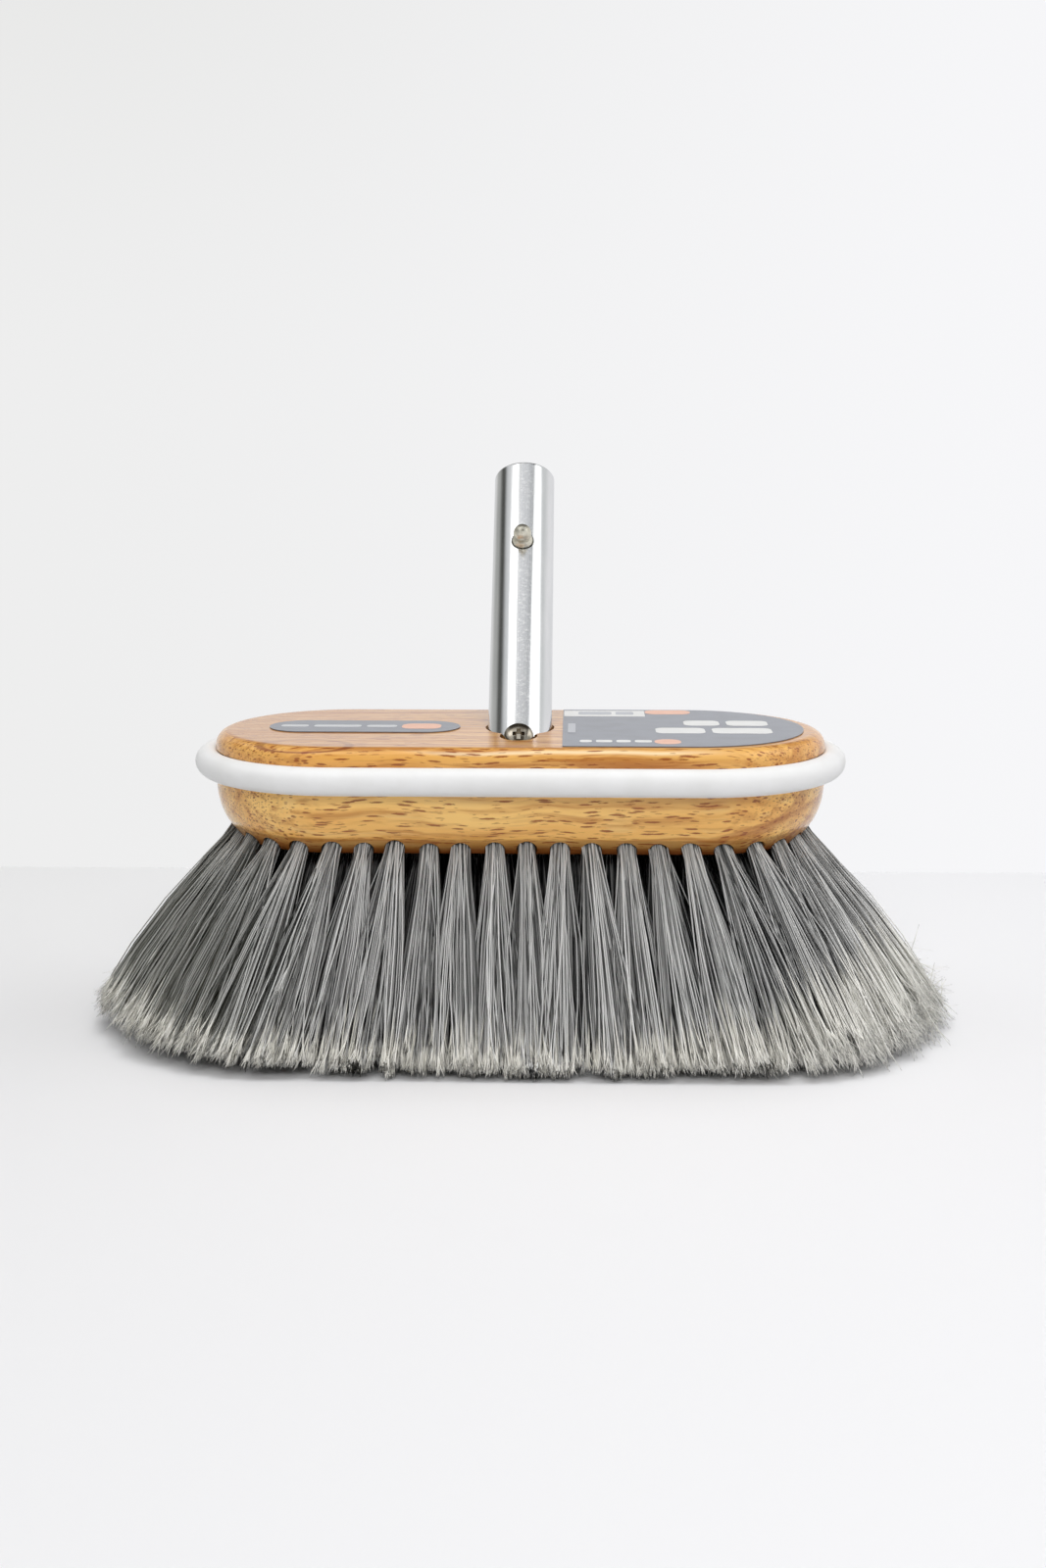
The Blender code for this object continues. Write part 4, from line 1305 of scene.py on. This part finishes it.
def even_light(x, y, z):
    """How strong the even light is: most from overhead and behind, and some at both ends."""
    above = times(ramp(z, 0.4, 0.95, 0.02, 0.42), ramp(y, -0.6, 0.3, 0.25, 1.3))
    ends = plus(ramp(x, 0.5, 1, 0, 0.85), ramp(x, -1, -0.6, 0.85, 0))
    return plus(above, times(ends, ramp(z, 0, 0.4, 0.1, 1)))


def studio_seen(x, y, z):
    """The pale studio, with the darker places that the metal mirrors as bands."""
    middle = size_of(x)
    left = mixed(ramp(z, 0, 0.3), (238, 238, 238), (231, 231, 230))
    pale = mixed(ramp(x, -0.3, 0.3), left, (247, 247, 249))
    ceiling = mixed(ramp(x, 0.05, 0.3), (240, 241, 242), (219, 221, 222))
    gap = times(ramp(x, 0.36, 0.42), ramp(x, 0.44, 0.5, 1, 0))
    ceiling = mixed(gap, ceiling, (112, 114, 117))
    behind = times(ramp(y, -0.1, 0.25), ramp(middle, 0.4, 0.65, 1, 0))
    ceiling = mixed(behind, ceiling, (64, 60, 54))
    seen = mixed(ramp(z, 0.22, 0.5), pale, ceiling)
    low_front = times(ramp(y, -0.5, -0.4, 1, 0), ramp(z, 0.3, 0.45))
    low_front = times(low_front, ramp(middle, 0.25, 0.4, 1, 0))
    seen = mixed(low_front, seen, (84, 80, 72))
    wall = mixed(ramp(z, -0.1, 0.25), (222, 223, 221), (180, 181, 179))
    wall = mixed(ramp(z, 0.27, 0.47), wall, (78, 79, 76))
    wall = mixed(ramp(z, 0.52, 0.7), wall, (222, 224, 226))
    return mixed(ramp(x, -0.7, -0.5), wall, seen)


def make_world():
    """Even light from all round, and the pale studio that the camera and gloss see."""
    world = bpy.data.worlds.new("studio")
    bpy.context.scene.world = world
    world.use_nodes = True
    tree = world.node_tree
    x, y, z = axes(add_node(tree, "TexCoord").outputs["Generated"])
    even = tree.nodes["Background"]
    even.inputs["Color"].default_value = (1, 1, 1, 1)
    tree.links.new(even_light(x, y, z), even.inputs["Strength"])
    backdrop = add_node(tree, "Background", {"Color": studio_seen(x, y, z), "Strength": 1})
    path = add_node(tree, "LightPath").outputs
    direct = maths("MAXIMUM", path["Is Camera Ray"], path["Is Glossy Ray"])
    direct = maths("MAXIMUM", direct, path["Is Transmission Ray"])
    shown = add_node(tree, "MixShader", {0: direct, 1: even.outputs[0], 2: backdrop.outputs[0]})
    tree.links.new(shown.outputs[0], tree.nodes["World Output"].inputs["Surface"])


def make_softbox(name, location, target, width, depth, power, mirrored):
    """A soft rectangular lamp that faces a point, seen in gloss or not."""
    light = bpy.data.lights.new(name, "AREA")
    light.shape = "RECTANGLE"
    light.size = width
    light.size_y = depth
    light.energy = power
    lamp = bpy.data.objects.new(name, light)
    lamp.location = location
    lamp.rotation_euler = (Vector(target) - Vector(location)).to_track_quat("-Z", "Y").to_euler()
    lamp.visible_camera = False
    lamp.visible_glossy = mirrored
    bpy.context.scene.collection.objects.link(lamp)


def make_camera():
    """The camera, at the photograph's angle and distance."""
    camera = bpy.data.objects.new("camera", bpy.data.cameras.new("camera"))
    camera.data.lens = CAMERA_LENS
    camera.data.sensor_width = CAMERA_SENSOR
    camera.data.clip_start, camera.data.clip_end = CAMERA_CLIP
    camera.location = CAMERA_PLACE
    camera.rotation_euler = CAMERA_TURN
    bpy.context.scene.collection.objects.link(camera)
    bpy.context.scene.camera = camera


make_camera()
make_world()
for lamp in LAMPS:
    make_softbox(*lamp)
make_floor()
make_block()
make_bumper()
make_tube()
make_screw()
make_button()
dress_spring()
make_labels()
make_bristles()

bpy.context.scene.view_settings.view_transform = "Standard"
